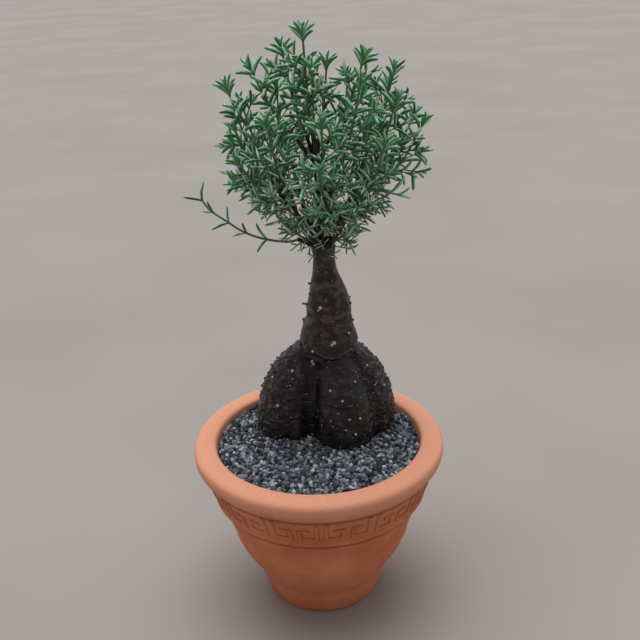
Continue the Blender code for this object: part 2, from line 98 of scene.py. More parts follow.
def add(tree, kind, sockets=None, out=0, stops=(), **settings):
    """Adds a node and gives back one of its outputs. Stops are the places and colours of a ramp."""
    made = tree.nodes.new(kind)
    for name, value in settings.items():
        setattr(made, name, value)
    feed(tree, made, sockets or {})
    for number, (place, code) in enumerate(stops):
        elements = made.color_ramp.elements
        stop = elements[number] if number < len(elements) else elements.new(place)
        stop.position = place
        stop.color = linear(code)
    return made.outputs[out] if made.outputs else None


print("white as linear light:", linear("#FFFFFF"))


# %% Helpers for materials and pieces
def new_material(name, finish):
    """A material. A function gives what goes into the sockets of its Principled shader."""
    made = bpy.data.materials.new(name)
    made.use_nodes = True
    tree = made.node_tree
    place = add(tree, "ShaderNodeTexCoord", out="Object")
    feed(tree, tree.nodes["Principled BSDF"], finish(tree, place))
    print("material:", name)
    return made


def new_object(name, mesh):
    made = bpy.data.objects.new(name, mesh)
    bpy.context.scene.collection.objects.link(made)
    return made


def stand_in(piece, node):
    """Says what a piece rides on, hides the solid that it stands for, and counts its triangles."""
    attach(piece, "root")
    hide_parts(node)
    return sum(len(face.vertices) - 2 for face in piece.data.polygons)


# %% [markdown]
# The pot is plain terracotta: iron-rich clay, pressed in a mould, fired and left without a glaze.
# It is matt, with a sandy grain. From 108 mm up it is painted paler: partly dust, as the rim is the
# driest part and the most handled one, and partly painted light on the rim's lit top. The real
# grain is too fine to see from here. It is drawn as grains of about 1 mm.

# %% Terracotta
TERRACOTTA = ("#C06A43", "#CE7953", "#D78C66")
# Paler colour from 108 mm up: partly dust on the rim, partly painted light on its lit top
RIM_DUST_AND_LIGHT = "#E0A084"
# Colour of the painted shade in the band's corners and at the foot of each fret stroke
PAINTED_SHADE_COLOUR = "#5E2F1E"
PALE_RIM_FROM = 108.0
PALE_RIM_TO = 126.0
KILN_PATCH = 38.0
CLAY_GRAIN = 1.1
CLAY_RIPPLE = 2.6


def terracotta(tree, place):
    patch = add(tree, "ShaderNodeTexNoise", {"Vector": place, "Scale": 1 / (KILN_PATCH * MM),
                                             "Detail": 4.0, "Roughness": 0.6})
    tone = add(tree, "ShaderNodeValToRGB", {0: patch}, stops=zip((0.3, 0.52, 0.75), TERRACOTTA))
    grain = add(tree, "ShaderNodeTexNoise", {"Vector": place, "Scale": 1 / (CLAY_GRAIN * MM),
                                             "Detail": 3.0})
    # Painted paler from 108 mm up: partly dust on the rim, partly painted light on its lit top
    level = add(tree, "ShaderNodeMapRange",
                {0: add(tree, "ShaderNodeSeparateXYZ", {0: place}, out="Z"), 1: PALE_RIM_FROM * MM,
                 2: PALE_RIM_TO * MM, 4: 0.85}, interpolation_type="SMOOTHSTEP")
    dust_and_light = add(tree, "ShaderNodeMix", {0: level, 6: tone, 7: RIM_DUST_AND_LIGHT}, 2, data_type="RGBA")
    light = add(tree, "ShaderNodeMapRange", {0: grain, 1: 0.3, 2: 0.7, 3: 0.93, 4: 1.06})
    sanded = add(tree, "ShaderNodeVectorMath", {0: dust_and_light, 3: light}, operation="SCALE")
    # Painted shade: darker in the corners of the band and at the foot of each fret stroke
    corner = add(tree, "ShaderNodeAttribute", out="Fac", attribute_name="dirt")
    shade_strength = add(tree, "ShaderNodeMath", {0: corner, 1: 0.8}, operation="MULTIPLY")
    dirty = add(tree, "ShaderNodeMix", {0: shade_strength, 6: sanded, 7: PAINTED_SHADE_COLOUR}, 2, data_type="RGBA")
    flat = add(tree, "ShaderNodeMapping", {"Vector": place, "Scale": (0.12, 0.12, 1.0)})
    ripple = add(tree, "ShaderNodeTexNoise", {"Vector": flat, "Scale": 1 / (CLAY_RIPPLE * MM)})
    rings = add(tree, "ShaderNodeBump", {"Strength": 0.25, "Distance": 0.25 * MM, "Height": ripple})
    sandy = add(tree, "ShaderNodeBump", {"Strength": 0.35, "Distance": 0.12 * MM, "Height": grain,
                                         "Normal": rings})
    return {"Base Color": dirty, "Roughness": 0.8, "IOR": 1.5, "Normal": sandy}


clay = new_material("terracotta_unglazed", terracotta)

# %% [markdown]
# A pot is a turned thing, so one outline carried round the axis makes all of it. The points are
# the solid's own, and each corner is rounded as fired clay is. The band under the rim bears a
# fret: square hooks in mirrored pairs, raised by about a millimetre. The mould gave them soft
# edges. A Boolean would give hard ones, so the relief is a rise of the wall itself. The columns of
# the mesh are set where the strokes have their edges, which keeps the strokes straight and even.
# A painted shade darkens the corner at the foot of each stroke, under the rim and under the ring,
# and draws a thin dark line there.

# %% Outline of the pot
POT_OUTLINE = (
    # radius, height, how far the corner is rounded
    (74.1, 126.6, 1.5), (76.5, 128.0, 3.0), (84.0, 128.0, 9.0), (88.4, 126.8, 1.8),
    (90.0, 124.4, 1.6), (90.0, 118.6, 2.0), (88.4, 115.8, 1.2), (85.2, 111.8, 0.6),
    (83.9, 110.6, 0.5), (77.2, 91.3, 0.7), (78.0, 89.3, 1.1), (77.6, 87.0, 1.0),
    (75.4, 85.4, 0.8), (73.6, 81.4, 1.5), (68.7, 69.5, 9.0), (64.9, 56.2, 0.7), (65.0, 55.0, 0.4),
    (64.1, 53.8, 0.7), (61.5, 45.5, 9.0), (51.9, 29.5, 9.0), (47.1, 21.6, 9.0),
    (45.9, 18.5, 9.0), (45.2, 11.5, 9.0), (41.6, 1.6, 1.0), (40.2, 0.0, 0.4), (34.0, 0.0, 0.6),
    (32.6, 2.0, 0.6), (7.0, 2.0, 0.8), (7.0, 11.0, 0.8), (39.0, 11.0, 3.0),
    (56.0, 46.0, 9.0), (69.3, 92.0, 9.0),
)
CORNER_STEPS = 5


def rounded(outline):
    """Cuts each corner of a closed outline back on both sides and bends the rest round it."""
    points = []
    for number, (radius, height, cut) in enumerate(outline):
        corner = np.array((radius, height))
        ends = []
        for side in (-1, 1):
            way = np.array(outline[(number + side) % len(outline)][:2]) - corner
            ends.append(corner + way * min(cut / np.linalg.norm(way), 0.49))
        for share in np.linspace(0.0, 1.0, CORNER_STEPS):
            first = ends[0] * (1 - share) + corner * share
            second = corner * (1 - share) + ends[1] * share
            points.append(first * (1 - share) + second * share)
    return np.array(points)


profile = rounded(POT_OUTLINE)
print("outline:", len(profile), "points, from", profile[:, 1].min(), "to", profile[:, 1].max(),
      "mm")

# %% Fret band
HOOKS = 28
BAND_LOW = (77.2, 91.3)
BAND_HIGH = (83.9, 110.6)
HOOK_PITCH = 2 * math.pi * BAND_HIGH[0] / HOOKS
STROKE_RELIEF = 1.1
STROKE_SLOPE = 0.28
SHADE_LINE_WIDTH = 0.62
# Corners of the outline that get a painted shade, as (radius, height), and how far it reaches
SHADED_CORNERS = ((83.9, 110.6), (75.0, 84.4))
CORNER_REACH = 3.0
# The strokes of one hook as boxes on the unrolled band: from, to, low, high
STROKES = ((2.4, 4.4, 92.8, 109.3), (2.4, 16.4, 92.8, 94.8), (14.4, 16.4, 92.8, 102.6),
           (8.6, 16.4, 100.6, 102.6))


def mesh_lines(edges, between):
    """Places on both sides of each edge, and one more in each wide gap between them."""
    places = sorted({edge + side * STROKE_SLOPE for edge in edges for side in (-1, 1)})
    return np.array(sorted([*places, *between]))


def inside_stroke(along, height):
    """Distance from the nearest edge of a stroke, positive inside it."""
    return max(min(along - left, right - along, height - low, high - height)
               for left, right, low, high in STROKES)


def relief(along, height):
    """How far the wall stands out, as a share: 1 on a stroke, 0 beside it, sloped between."""
    rise = min(max(0.5 + inside_stroke(along, height) / (2 * STROKE_SLOPE), 0.0), 1.0)
    return rise * rise * (3 - 2 * rise)


def dirt(along, radius, height, raised):
    """Painted shade: 1 at the foot of a stroke's slope or in a corner, and 0 a little way from it.
    """
    away = min(math.hypot(radius - r, height - z) for r, z in SHADED_CORNERS) / CORNER_REACH
    if raised:
        away = min(away, 0.5 + abs(inside_stroke(along, height) + STROKE_SLOPE) / SHADE_LINE_WIDTH)
    return max(1.0 - away, 0.0)


hook_columns = mesh_lines((2.4, 4.4, 8.6, 14.4, 16.4), (0.3, 1.2, 3.4, 5.8, 7.2, 10.4, 12.3, 15.4,
                                                       17.8))
band_rows = mesh_lines((92.8, 94.8, 100.6, 102.6), (91.9, 93.8, 95.9, 97.8, 99.6, 101.6, 103.6,
                                                    105.6, 107.6, 109.0, 109.6))
print("hooks:", HOOKS, "columns:", HOOKS * len(hook_columns), "rows on the band:", len(band_rows))


# %% Turn the pot
def wrapped(name, places, closed, **numbers):
    """A mesh from rows of places round an axis. The last row meets the first if it is closed.
    Grids of numbers are kept on it under their names."""
    rows, columns = places.shape[:2]
    faces = []
    for row in range(rows if closed else rows - 1):
        for column in range(columns):
            a, b = row * columns, (row + 1) % rows * columns
            after = (column + 1) % columns
            faces.append((a + column, a + after, b + after, b + column))
    mesh = bpy.data.meshes.new(name)
    mesh.from_pydata((places.reshape(-1, 3) * MM).tolist(), [], faces)
    for key, grid in numbers.items():
        mesh.attributes.new(key, "FLOAT", "POINT").data.foreach_set("value", grid.ravel())
    bm = bmesh.new()
    bm.from_mesh(mesh)
    bmesh.ops.remove_doubles(bm, verts=bm.verts, dist=0.001 * MM)
    bmesh.ops.recalc_face_normals(bm, faces=bm.faces)
    bm.to_mesh(mesh)
    bm.free()
    mesh.shade_smooth()
    return mesh


def pot_grid():
    """Places of the pot's surface, row by row, and how much painted shade each one gets."""
    band_top = [point[:2] for point in POT_OUTLINE].index(BAND_HIGH)
    rows = []
    for number, (radius, height) in enumerate(profile):
        rows.append((radius, height, False))
        if number == (band_top + 1) * CORNER_STEPS - 1:
            for low in reversed(band_rows):
                radius = np.interp(low, (BAND_LOW[1], BAND_HIGH[1]), (BAND_LOW[0], BAND_HIGH[0]))
                rows.append((radius, low, True))
    columns = []
    for hook in range(HOOKS):
        for along in hook_columns if hook % 2 == 0 else reversed(hook_columns):
            turned = along if hook % 2 == 0 else HOOK_PITCH - along
            columns.append(((hook * HOOK_PITCH + turned) / BAND_HIGH[0] - math.pi / 2, along))
    places = np.zeros((len(rows), len(columns), 3))
    dirty = np.zeros((len(rows), len(columns)))
    for row, (radius, height, raised) in enumerate(rows):
        for column, (angle, along) in enumerate(columns):
            rise = relief(along, height) * STROKE_RELIEF if raised else 0.0
            places[row, column] = ((radius + rise) * math.cos(angle),
                                   (radius + rise) * math.sin(angle), height)
            dirty[row, column] = dirt(along, radius, height, raised)
    return places, dirty


pot_surface, pot_dirt = pot_grid()
pot = new_object("bell_pot", wrapped("bell_pot", pot_surface, closed=True, dirt=pot_dirt))
pot.data.materials.append(clay)
print("pot:", stand_in(pot, "pot"), "triangles")

# %% [markdown]
# The soil is a dark mix of peat and pumice. It is hidden under the grit, and it only shows through
# the drain hole, so the solid keeps its shape and only gets its finish.

# %% Potting soil
PEAT = ("#3A2D23", "#1E1712", "#6E6253")
CRUMB = 2.5


def potting_mix(tree, place):
    crumbs = add(tree, "ShaderNodeTexVoronoi", {"Vector": place, "Scale": 1 / (CRUMB * MM)})
    tone = add(tree, "ShaderNodeValToRGB", {0: crumbs}, stops=zip((0.1, 0.6, 0.95), PEAT))
    rough = add(tree, "ShaderNodeBump", {"Strength": 0.8, "Distance": 0.6 * MM, "Height": crumbs})
    return {"Base Color": tone, "Roughness": 0.95, "Normal": rough}


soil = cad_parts["potting_soil"]
soil.data.materials.clear()
soil.data.materials.append(new_material("peat_and_pumice", potting_mix))

# %% [markdown]
# The swollen foot of the plant is a caudex. It grew as several lobes that press against one
# another, with the trunk on top, whose lowest part bulges over them like a sleeve. The form is the
# solid's: lobes and trunk sections melted into one reach for every angle and height. The finer
# mesh adds what the solid leaves out: the sleeve's lip, folds in the bark, the lines between
# yearly swellings, and fine wrinkles that run round the plant.

# %% Form of the caudex
CAUDEX_AXIS = (8.0, 24.0)
CAUDEX_BASE = 88.0
TRUNK_TOP = 268.0
LOBES = (
    # x, y, z of its widest place, half width, half depth, height above that place; the last one
    # is the core that they all grew from
    (-21.5, 25.5, 124.0, 24.0, 25.0, 68.0), (20.0, 9.5, 126.0, 22.5, 26.0, 63.0),
    (36.5, 27.0, 131.0, 21.0, 23.5, 61.0), (22.0, 46.0, 126.0, 20.0, 20.0, 66.0),
    (-8.0, 48.0, 126.0, 20.0, 18.5, 66.0), (8.0, 30.0, 122.0, 37.0, 27.5, 80.0),
)
LOBE_BELOW = 50.0
LOBE_LEAN = 0.5
LOBE_SHARPNESS = 20.0
TRUNK = (
    # height, middle x, middle y, radius
    (88.0, 8.0, 28.0, 17.0), (160.0, 8.0, 26.0, 18.0), (177.0, 9.0, 24.0, 18.6),
    (186.0, 9.8, 23.0, 20.2), (197.0, 10.0, 22.5, 19.8), (205.0, 10.0, 22.5, 18.0),
    (214.0, 10.5, 22.0, 16.3), (224.0, 11.1, 21.5, 15.0), (232.0, 10.7, 21.0, 12.9),
    (240.0, 9.8, 20.5, 10.8), (247.0, 8.9, 20.0, 8.6), (258.0, 8.7, 20.0, 7.3),
    (265.0, 8.4, 20.0, 8.6), (TRUNK_TOP, 8.4, 20.0, 7.6),
)


def slice_reach(angle, x, y, half_width, half_depth):
    """How far a flat ellipse reaches from the axis along each angle, 0 where it is missed."""
    half_width = np.maximum(half_width, 1e-3)
    half_depth = np.maximum(half_depth, 1e-3)
    dx, dy = np.cos(angle) / half_width, np.sin(angle) / half_depth
    ox, oy = (CAUDEX_AXIS[0] - x) / half_width, (CAUDEX_AXIS[1] - y) / half_depth
    a, b, c = dx * dx + dy * dy, ox * dx + oy * dy, ox * ox + oy * oy - 1.0
    under = b * b - a * c
    return np.where(under > 0.0, np.maximum((np.sqrt(np.maximum(under, 0.0)) - b) / a, 0.0), 0.0)


def caudex_reach(angle, height):
    """Radius of the caudex about its axis, for arrays of angles and heights."""
    rows = list(zip(*TRUNK))
    x, y, radius = (np.interp(height, rows[0], row) for row in rows[1:])
    total = slice_reach(angle, x, y, radius, radius) ** LOBE_SHARPNESS
    for x, y, z, half_width, half_depth, rise in LOBES:
        share = np.where(height > z, (height - z) / rise, (z - height) / LOBE_BELOW)
        scale = np.sqrt(np.maximum(1.0 - share ** 2, 0.0))
        lean = np.where(height > z, LOBE_LEAN * share ** 2, 0.0)
        lean_x = x + (CAUDEX_AXIS[0] - x) * lean
        lean_y = y + (CAUDEX_AXIS[1] - y) * lean
        reach = slice_reach(angle, lean_x, lean_y, half_width * scale, half_depth * scale)
        total += reach ** LOBE_SHARPNESS
    return total ** (1.0 / LOBE_SHARPNESS)


print("reach to the front at 150 mm:",
      round(float(caudex_reach(np.array(-1.4), np.array(150.0))), 1))

# %% Folds and wrinkles of the bark
CAUDEX_COLUMNS = 288
# The sleeve's lip: its height at points round the plant, from the left by the front to the right
LIP_ANGLES = (-180, -138, -117, -94, -73, -44, -9, 60, 130, 180)
LIP_HEIGHTS = (196, 195, 191.5, 186.5, 186.5, 188.5, 190.5, 190, 193, 196)
LIP_OUT = 0.9
LIP_UNDER = 1.7
LIP_EDGE = 0.5
LIP_FADES = (6.0, 3.5)
FOLDS = (
    # height, middle angle, half width, depth, thickness
    (219.0, -62, 28, 0.9, 1.3), (213.5, -30, 16, 0.9, 1.2), (238.0, -80, 26, 0.5, 1.0),
    (228.0, -126, 22, 0.6, 1.2), (254.0, -66, 30, 0.5, 1.0), (205.0, -142, 24, 0.6, 1.4),
    (226.0, 80, 40, 0.7, 1.3), (243.0, 150, 30, 0.5, 1.1), (204.0, 20, 30, 0.6, 1.4),
    (212.0, 150, 26, 0.6, 1.4), (153.0, -80, 14, 0.6, 1.1), (164.0, -16, 14, 0.5, 1.2),
    (140.0, -160, 18, 0.5, 1.1), (158.0, 105, 20, 0.5, 1.3), (136.0, 60, 20, 0.5, 1.3),
)
# A fold waves up and down by this much, and a swelling lies above it
FOLD_WAVE = 1.2
SWELLING_UP = 2.4
SWELLING_HALF = 1.8
SWELLING_SHARE = 0.4
WRINKLES = (
    # The knots' noise also paints the bark lighter on the knobs and darker between them, a painted
    # sheen and shade
    # size round the plant, size up the plant, depth in front, more depth on the flanks
    (13.0, 13.0, 0.9, 0.0), (7.0, 7.0, 0.6, 0.3), (3.6, 3.0, 0.15, 1.1), (1.7, 1.3, 0.1, 0.2),
)
# The flanks are rough up to this height, and a part with a smaller radius than this is smoother
FLANK_TOP = 200.0
FLANK_FADE = 6.0
THIN_BELOW = 20.0
CREASES = (
    # size round the plant, size up the plant, depth, width as a share of the noise
    (15.0, 6.0, 0.45, 0.08), (8.0, 4.4, 0.25, 0.1), (3.6, 2.6, 0.12, 0.14),
)
print("folds:", len(FOLDS), "layers of noise:", len(WRINKLES) + len(CREASES))


# %% Surface of the caudex
def angle_apart(angle, middle):
    """Angles in degrees between each angle and a middle one, the short way round."""
    return (np.degrees(angle) - middle + 180.0) % 360.0 - 180.0


def flanks(angle, height):
    """1 on the left and right flanks of the lobes, where the bark is roughest, and 0 elsewhere."""
    return np.cos(angle) ** 4 / (1.0 + np.exp((height - FLANK_TOP) / FLANK_FADE))


def bark_noise(angle, height, radius, across, up):
    """Noise at each place on the bark, of one size round the plant and of another up it."""
    grid = np.zeros(radius.shape)
    for spot in np.ndindex(radius.shape):
        grid[spot] = noise.noise((radius[spot] * math.cos(angle[spot]) / across,
                                  radius[spot] * math.sin(angle[spot]) / across,
                                  height[spot] / up))
    return grid


def wrinkled(angle, height, radius):
    """Sum of the noise layers on the bark, in millimetres outwards."""
    total = np.zeros(radius.shape)
    for across, up, depth, more in WRINKLES:
        rough = bark_noise(angle, height, radius, across, up)
        total += (depth + more * flanks(angle, height)) * rough
    for across, up, depth, width in CREASES:
        lines = 1.0 - np.abs(bark_noise(angle, height, radius, across, up)) / width
        total -= depth * np.maximum(lines, 0.0)
    return total * np.minimum(radius / THIN_BELOW, 1.0)


def caudex_surface(angle, height):
    """Radius with the sleeve's lip, the folds and the wrinkles."""
    radius = caudex_reach(angle, height)
    lip = np.interp(np.degrees(angle), LIP_ANGLES, LIP_HEIGHTS)
    above = height - lip
    turn_in = 1.0 / (1.0 + np.exp(-above / LIP_EDGE))
    radius += LIP_OUT * np.exp(-(np.maximum(above, 0.0) / LIP_FADES[0]) ** 2) * turn_in
    radius -= LIP_UNDER * np.exp(-(np.minimum(above, 0.0) / LIP_FADES[1]) ** 2) * (1.0 - turn_in)
    for middle, towards, width, depth, thickness in FOLDS:
        window = np.exp(-(angle_apart(angle, towards) / width) ** 2)
        wave = middle + FOLD_WAVE * np.sin(np.radians(angle_apart(angle, towards)) * 4.0 + middle)
        radius -= depth * window * np.exp(-((height - wave) / thickness) ** 2)
        swelling = np.exp(-((height - wave - SWELLING_UP) / SWELLING_HALF) ** 2)
        radius += SWELLING_SHARE * depth * window * swelling
    return radius + wrinkled(angle, height, radius)


BURIED_TOP = 116.0
SHOULDER = 266.5
heights = np.concatenate((np.linspace(CAUDEX_BASE, BURIED_TOP, 8)[:-1],
                          np.linspace(BURIED_TOP, SHOULDER, 260), (267.1, 267.6, TRUNK_TOP)))
turns = np.linspace(-math.pi, math.pi, CAUDEX_COLUMNS, endpoint=False)
angles, levels = np.meshgrid(turns, heights)
surface = caudex_surface(angles, levels)
print("caudex rows:", len(heights), "widest reach:", round(float(surface.max()), 1), "mm")

# %% [markdown]
# The bark of the caudex is nearly black, a thin papery skin with a greasy gloss. It is painted
# bluish grey on the crests and dark brown in the hollows, a painted sheen and a painted shade that
# follow the relief. On the trunk it is browner and comes off in flakes.
# Small warts sit all over the lobes. They are old shoot bases and lenticels, and the cut or worn
# ones show pale cork. Short dashes of cork run across the bark where it has split.

# %% Bark
BARK = ("#030203", "#0B0809", "#1B1518", "#453C47")
FLAKES = ("#0F0B0B", "#2E211C", "#5C4A41")
CORK = "#D0C8BD"
BARK_PATCH = 9.0
BARK_GRAIN = 0.9
FLAKE_SIZE = 7.5
DASH_SIZE = 2.4


def bark(tree, place):
    patch = add(tree, "ShaderNodeTexNoise", {"Vector": place, "Scale": 1 / (BARK_PATCH * MM),
                                             "Detail": 6.0, "Roughness": 0.65})
    # Painted sheen and shade: crests of the relief are painted lighter and bluish, hollows darker
    raised = add(tree, "ShaderNodeAttribute", out="Fac", attribute_name="raised")
    both = add(tree, "ShaderNodeMath", {0: raised, 1: 0.35, 2: patch}, operation="MULTIPLY_ADD")
    tone = add(tree, "ShaderNodeValToRGB", {0: both}, stops=zip((0.3, 0.48, 0.62, 0.86), BARK))
    level = add(tree, "ShaderNodeMapping", {"Vector": place, "Scale": (1.0, 1.0, 1.4)})
    flakes = add(tree, "ShaderNodeTexNoise", {"Vector": level, "Scale": 1 / (FLAKE_SIZE * MM),
                                              "Detail": 3.0, "Roughness": 0.6})
    flaked = add(tree, "ShaderNodeValToRGB", {0: flakes}, stops=zip((0.42, 0.5, 0.6), FLAKES))
    flaky = add(tree, "ShaderNodeAttribute", out="Fac", attribute_name="flaky")
    older = add(tree, "ShaderNodeMix", {0: flaky, 6: tone, 7: flaked}, 2, data_type="RGBA")
    thin = add(tree, "ShaderNodeMapping", {"Vector": place, "Scale": (1.0, 1.0, 3.6)})
    split = add(tree, "ShaderNodeTexNoise", {"Vector": thin, "Scale": 1 / (DASH_SIZE * MM),
                                             "Detail": 1.0})
    dash = add(tree, "ShaderNodeMapRange", {0: split, 1: 0.73, 2: 0.77, 4: 0.85})
    pale = add(tree, "ShaderNodeAttribute", out="Fac", attribute_name="pale")
    corky = add(tree, "ShaderNodeMath", {0: pale, 1: dash}, operation="MAXIMUM")
    cork = add(tree, "ShaderNodeMix", {0: corky, 6: older, 7: CORK}, 2, data_type="RGBA")
    grain = add(tree, "ShaderNodeTexNoise", {"Vector": place, "Scale": 1 / (BARK_GRAIN * MM),
                                             "Detail": 5.0, "Roughness": 0.7})
    dull = add(tree, "ShaderNodeMapRange", {0: grain, 1: 0.3, 2: 0.7, 3: 0.22, 4: 0.5})
    rough = add(tree, "ShaderNodeBump", {"Strength": 0.6, "Distance": 0.35 * MM, "Height": grain})
    return {"Base Color": cork, "Roughness": dull, "IOR": 1.45, "Normal": rough}


caudex_bark = new_material("caudex_bark", bark)

# %% [markdown]
# Everything that repeats is made with Geometry Nodes: a tree with named inputs, run once on a
# seed mesh. The result is kept as a plain mesh, and the modifier goes. The first tree scatters
# warts over the bark. A number stored on the mesh says where they stand close together.


# %% Helpers for node trees
def new_tree(name, build, **inputs):
    """A geometry tree with a mesh and named numbers or materials as inputs. A function turns them
    into the tree's result."""
    tree = bpy.data.node_groups.new(name, "GeometryNodeTree")
    for in_out in ("INPUT", "OUTPUT"):
        tree.interface.new_socket("Geometry", in_out=in_out, socket_type="NodeSocketGeometry")
    for key, value in inputs.items():
        kind = "Material" if value is None else "Int" if isinstance(value, int) else "Float"
        socket = tree.interface.new_socket(key.replace("_", " "), in_out="INPUT",
                                           socket_type="NodeSocket" + kind)
        if value is not None:
            socket.default_value = value
    result = build(tree, tree.nodes.new("NodeGroupInput").outputs)
    add(tree, "NodeGroupOutput", {0: result})
    print("tree:", name, "with", len(tree.nodes), "nodes")
    return tree


def ended(tree, parts, material, smooth=True):
    """The end of a tree: its parts are joined, made real, shaded and given their material."""
    whole = add(tree, "GeometryNodeJoinGeometry", {0: parts})
    real = add(tree, "GeometryNodeRealizeInstances", {0: whole})
    shaded = add(tree, "GeometryNodeSetShadeSmooth", {0: real, "Shade Smooth": smooth})
    return add(tree, "GeometryNodeSetMaterial", {0: shaded, "Material": material})


def grown(name, mesh, tree, **values):
    """Runs a tree on a mesh and keeps the result as a plain mesh object at the origin."""
    seed = new_object(name + "_seed", mesh)
    modifier = seed.modifiers.new("grow", "NODES")
    modifier.node_group = tree
    for item in tree.interface.items_tree:
        if item.in_out == "INPUT" and item.name in values:
            modifier[item.identifier] = values[item.name]
    graph = bpy.context.evaluated_depsgraph_get()
    result = bpy.data.meshes.new_from_object(seed.evaluated_get(graph))
    bpy.data.objects.remove(seed, do_unlink=True)
    result.name = name
    return new_object(name, result)


def store(mesh, name, values, kind="FLOAT"):
    """Keeps one value for each vertex of a mesh under a name."""
    field = "vector" if kind == "FLOAT_VECTOR" else "value"
    attribute = mesh.attributes.new(name, kind, "POINT")
    number = bool if kind == "BOOLEAN" else np.float32
    attribute.data.foreach_set(field, np.asarray(values, number).ravel())


# %% Tree that scatters warts
def wart_layer(tree, given, per_area, radius, share_name, seed, palest):
    """Warts of one size, dense where the mesh says so, each with how pale its tip is."""
    share = add(tree, "GeometryNodeInputNamedAttribute", {"Name": share_name})
    density = add(tree, "ShaderNodeMath", {0: share, 1: given[per_area]}, operation="MULTIPLY")
    spots = add(tree, "GeometryNodeDistributePointsOnFaces",
                {"Mesh": given["Geometry"], "Density": density, "Seed": seed})
    normal = spots.node.outputs["Normal"]
    ball = add(tree, "GeometryNodeMeshIcoSphere", {"Radius": 1.0, "Subdivisions": 2})
    height = add(tree, "ShaderNodeSeparateXYZ", {0: add(tree, "GeometryNodeInputPosition")},
                 out="Z")
    tip = add(tree, "ShaderNodeMapRange", {0: height, 1: 0.72, 2: 1.0})
    marked = add(tree, "GeometryNodeStoreNamedAttribute", {0: ball, "Name": "tip", "Value": tip})
    shape = add(tree, "FunctionNodeRandomValue", {0: (0.5, 0.4, 0.4), 1: (1.8, 0.9, 1.1),
                                                  "Seed": seed}, data_type="FLOAT_VECTOR")
    scale = add(tree, "ShaderNodeVectorMath", {0: shape, 3: given[radius]}, operation="SCALE")
    level = add(tree, "ShaderNodeVectorMath", {0: normal, 1: (0.0, 0.0, -1.0)},
                operation="CROSS_PRODUCT")
    turn = add(tree, "FunctionNodeAxesToRotation", {0: normal, 1: level},
               primary_axis="Z", secondary_axis="X")
    warts = add(tree, "GeometryNodeInstanceOnPoints",
                {"Points": spots, "Instance": marked, "Rotation": turn, "Scale": scale})
    worn = add(tree, "FunctionNodeRandomValue", {2: -0.9, 3: palest, "Seed": seed}, 1)
    shade = add(tree, "GeometryNodeStoreNamedAttribute", {0: warts, "Name": "worn", "Value": worn},
                domain="INSTANCE")
    real = add(tree, "GeometryNodeRealizeInstances", {0: shade})
    pale = add(tree, "ShaderNodeMath",
               {number: add(tree, "GeometryNodeInputNamedAttribute", {"Name": name})
                for number, name in enumerate(("tip", "worn"))}, operation="MULTIPLY")
    # Warts get a little of the painted sheen that lightens the crests
    for name, value in (("pale", pale), ("raised", 0.2)):
        real = add(tree, "GeometryNodeStoreNamedAttribute", {0: real, "Name": name, "Value": value})
    return real


def warty(tree, given):
    small = wart_layer(tree, given, "Warts per area", "Wart radius", "wart_share", 3, 1.2)
    crust = wart_layer(tree, given, "Crust per area", "Crust radius", "crust_share", 5, 0.5)
    return ended(tree, [given["Geometry"], small, crust], given["Bark"])


warts = new_tree("warts", warty, Warts_per_area=30000.0, Wart_radius=0.0011, Crust_per_area=26000.0,
                 Crust_radius=0.0013, Bark=None)

# %% Make the caudex
HOLLOW_SPREAD = 5
TRUNK_BARK_FROM = 200.0
WART_GROUP = 15.0
WART_FOOT = 122.0
CRUST_FOOT = 124.0
# Middle height, half height and share of the two zones of warts: the lobes and the trunk
WART_ZONES = ((152.0, 26.0, 1.0), (215.0, 30.0, 0.4))
# How far the rows at the ends are drawn in, so that they close the form
ROW_SHARES = ((0, 0.0), (-1, 0.0), (-2, 0.45), (-3, 0.8))


def blurred(values, spread):
    """Mean of a grid over a square of neighbours. It wraps round the plant."""
    width = 2 * spread + 1
    total = sum(np.roll(values, shift, axis=1) for shift in range(-spread, spread + 1)) / width
    padded = np.pad(total, ((spread, spread), (0, 0)), mode="edge")
    return sum(padded[start:start + len(values)] for start in range(width)) / width


def caudex_mesh():
    reach = surface.copy()
    for row, share in ROW_SHARES:
        reach[row] *= share
    places = np.stack((CAUDEX_AXIS[0] + reach * np.cos(angles),
                       CAUDEX_AXIS[1] + reach * np.sin(angles), levels), axis=-1)
    mesh = wrapped("caudex_body", places, closed=False)
    # How far each place stands out from its neighbours, for the painted sheen on crests and painted
    # shade in hollows
    hollow = np.clip((surface - blurred(surface, HOLLOW_SPREAD)) / 0.8, -1.0, 1.0)
    spots = np.array([vert.co for vert in mesh.vertices]) / MM
    around = np.degrees(np.arctan2(spots[:, 1] - CAUDEX_AXIS[1], spots[:, 0] - CAUDEX_AXIS[0]))
    column = np.round((around + 180.0) / 360.0 * CAUDEX_COLUMNS).astype(int) % CAUDEX_COLUMNS
    height = spots[:, 2]
    row = np.clip(np.searchsorted(heights, height - 0.01), 0, len(heights) - 1)
    zones = sum(most * np.exp(-((height - middle) / half) ** 2)
                for middle, half, most in WART_ZONES)
    groups = np.array([noise.noise(Vector(spot) / WART_GROUP) for spot in spots])
    crowded = np.clip(0.25 + 3.0 * groups, 0.04, 1.0)
    crusty = flanks(np.radians(around), height)
    store(mesh, "raised", hollow[row, column])
    store(mesh, "pale", np.zeros(len(spots)))
    store(mesh, "wart_share", np.where(height > WART_FOOT, zones * crowded, 0.0))
    store(mesh, "crust_share", np.where(height > CRUST_FOOT, crusty, 0.0))
    store(mesh, "flaky", 0.85 / (1.0 + np.exp((TRUNK_BARK_FROM - height) / 5.0)))
    return mesh


caudex = grown("lobed_caudex", caudex_mesh(), warts, Bark=caudex_bark)
print("caudex:", stand_in(caudex, "caudex"), "triangles")

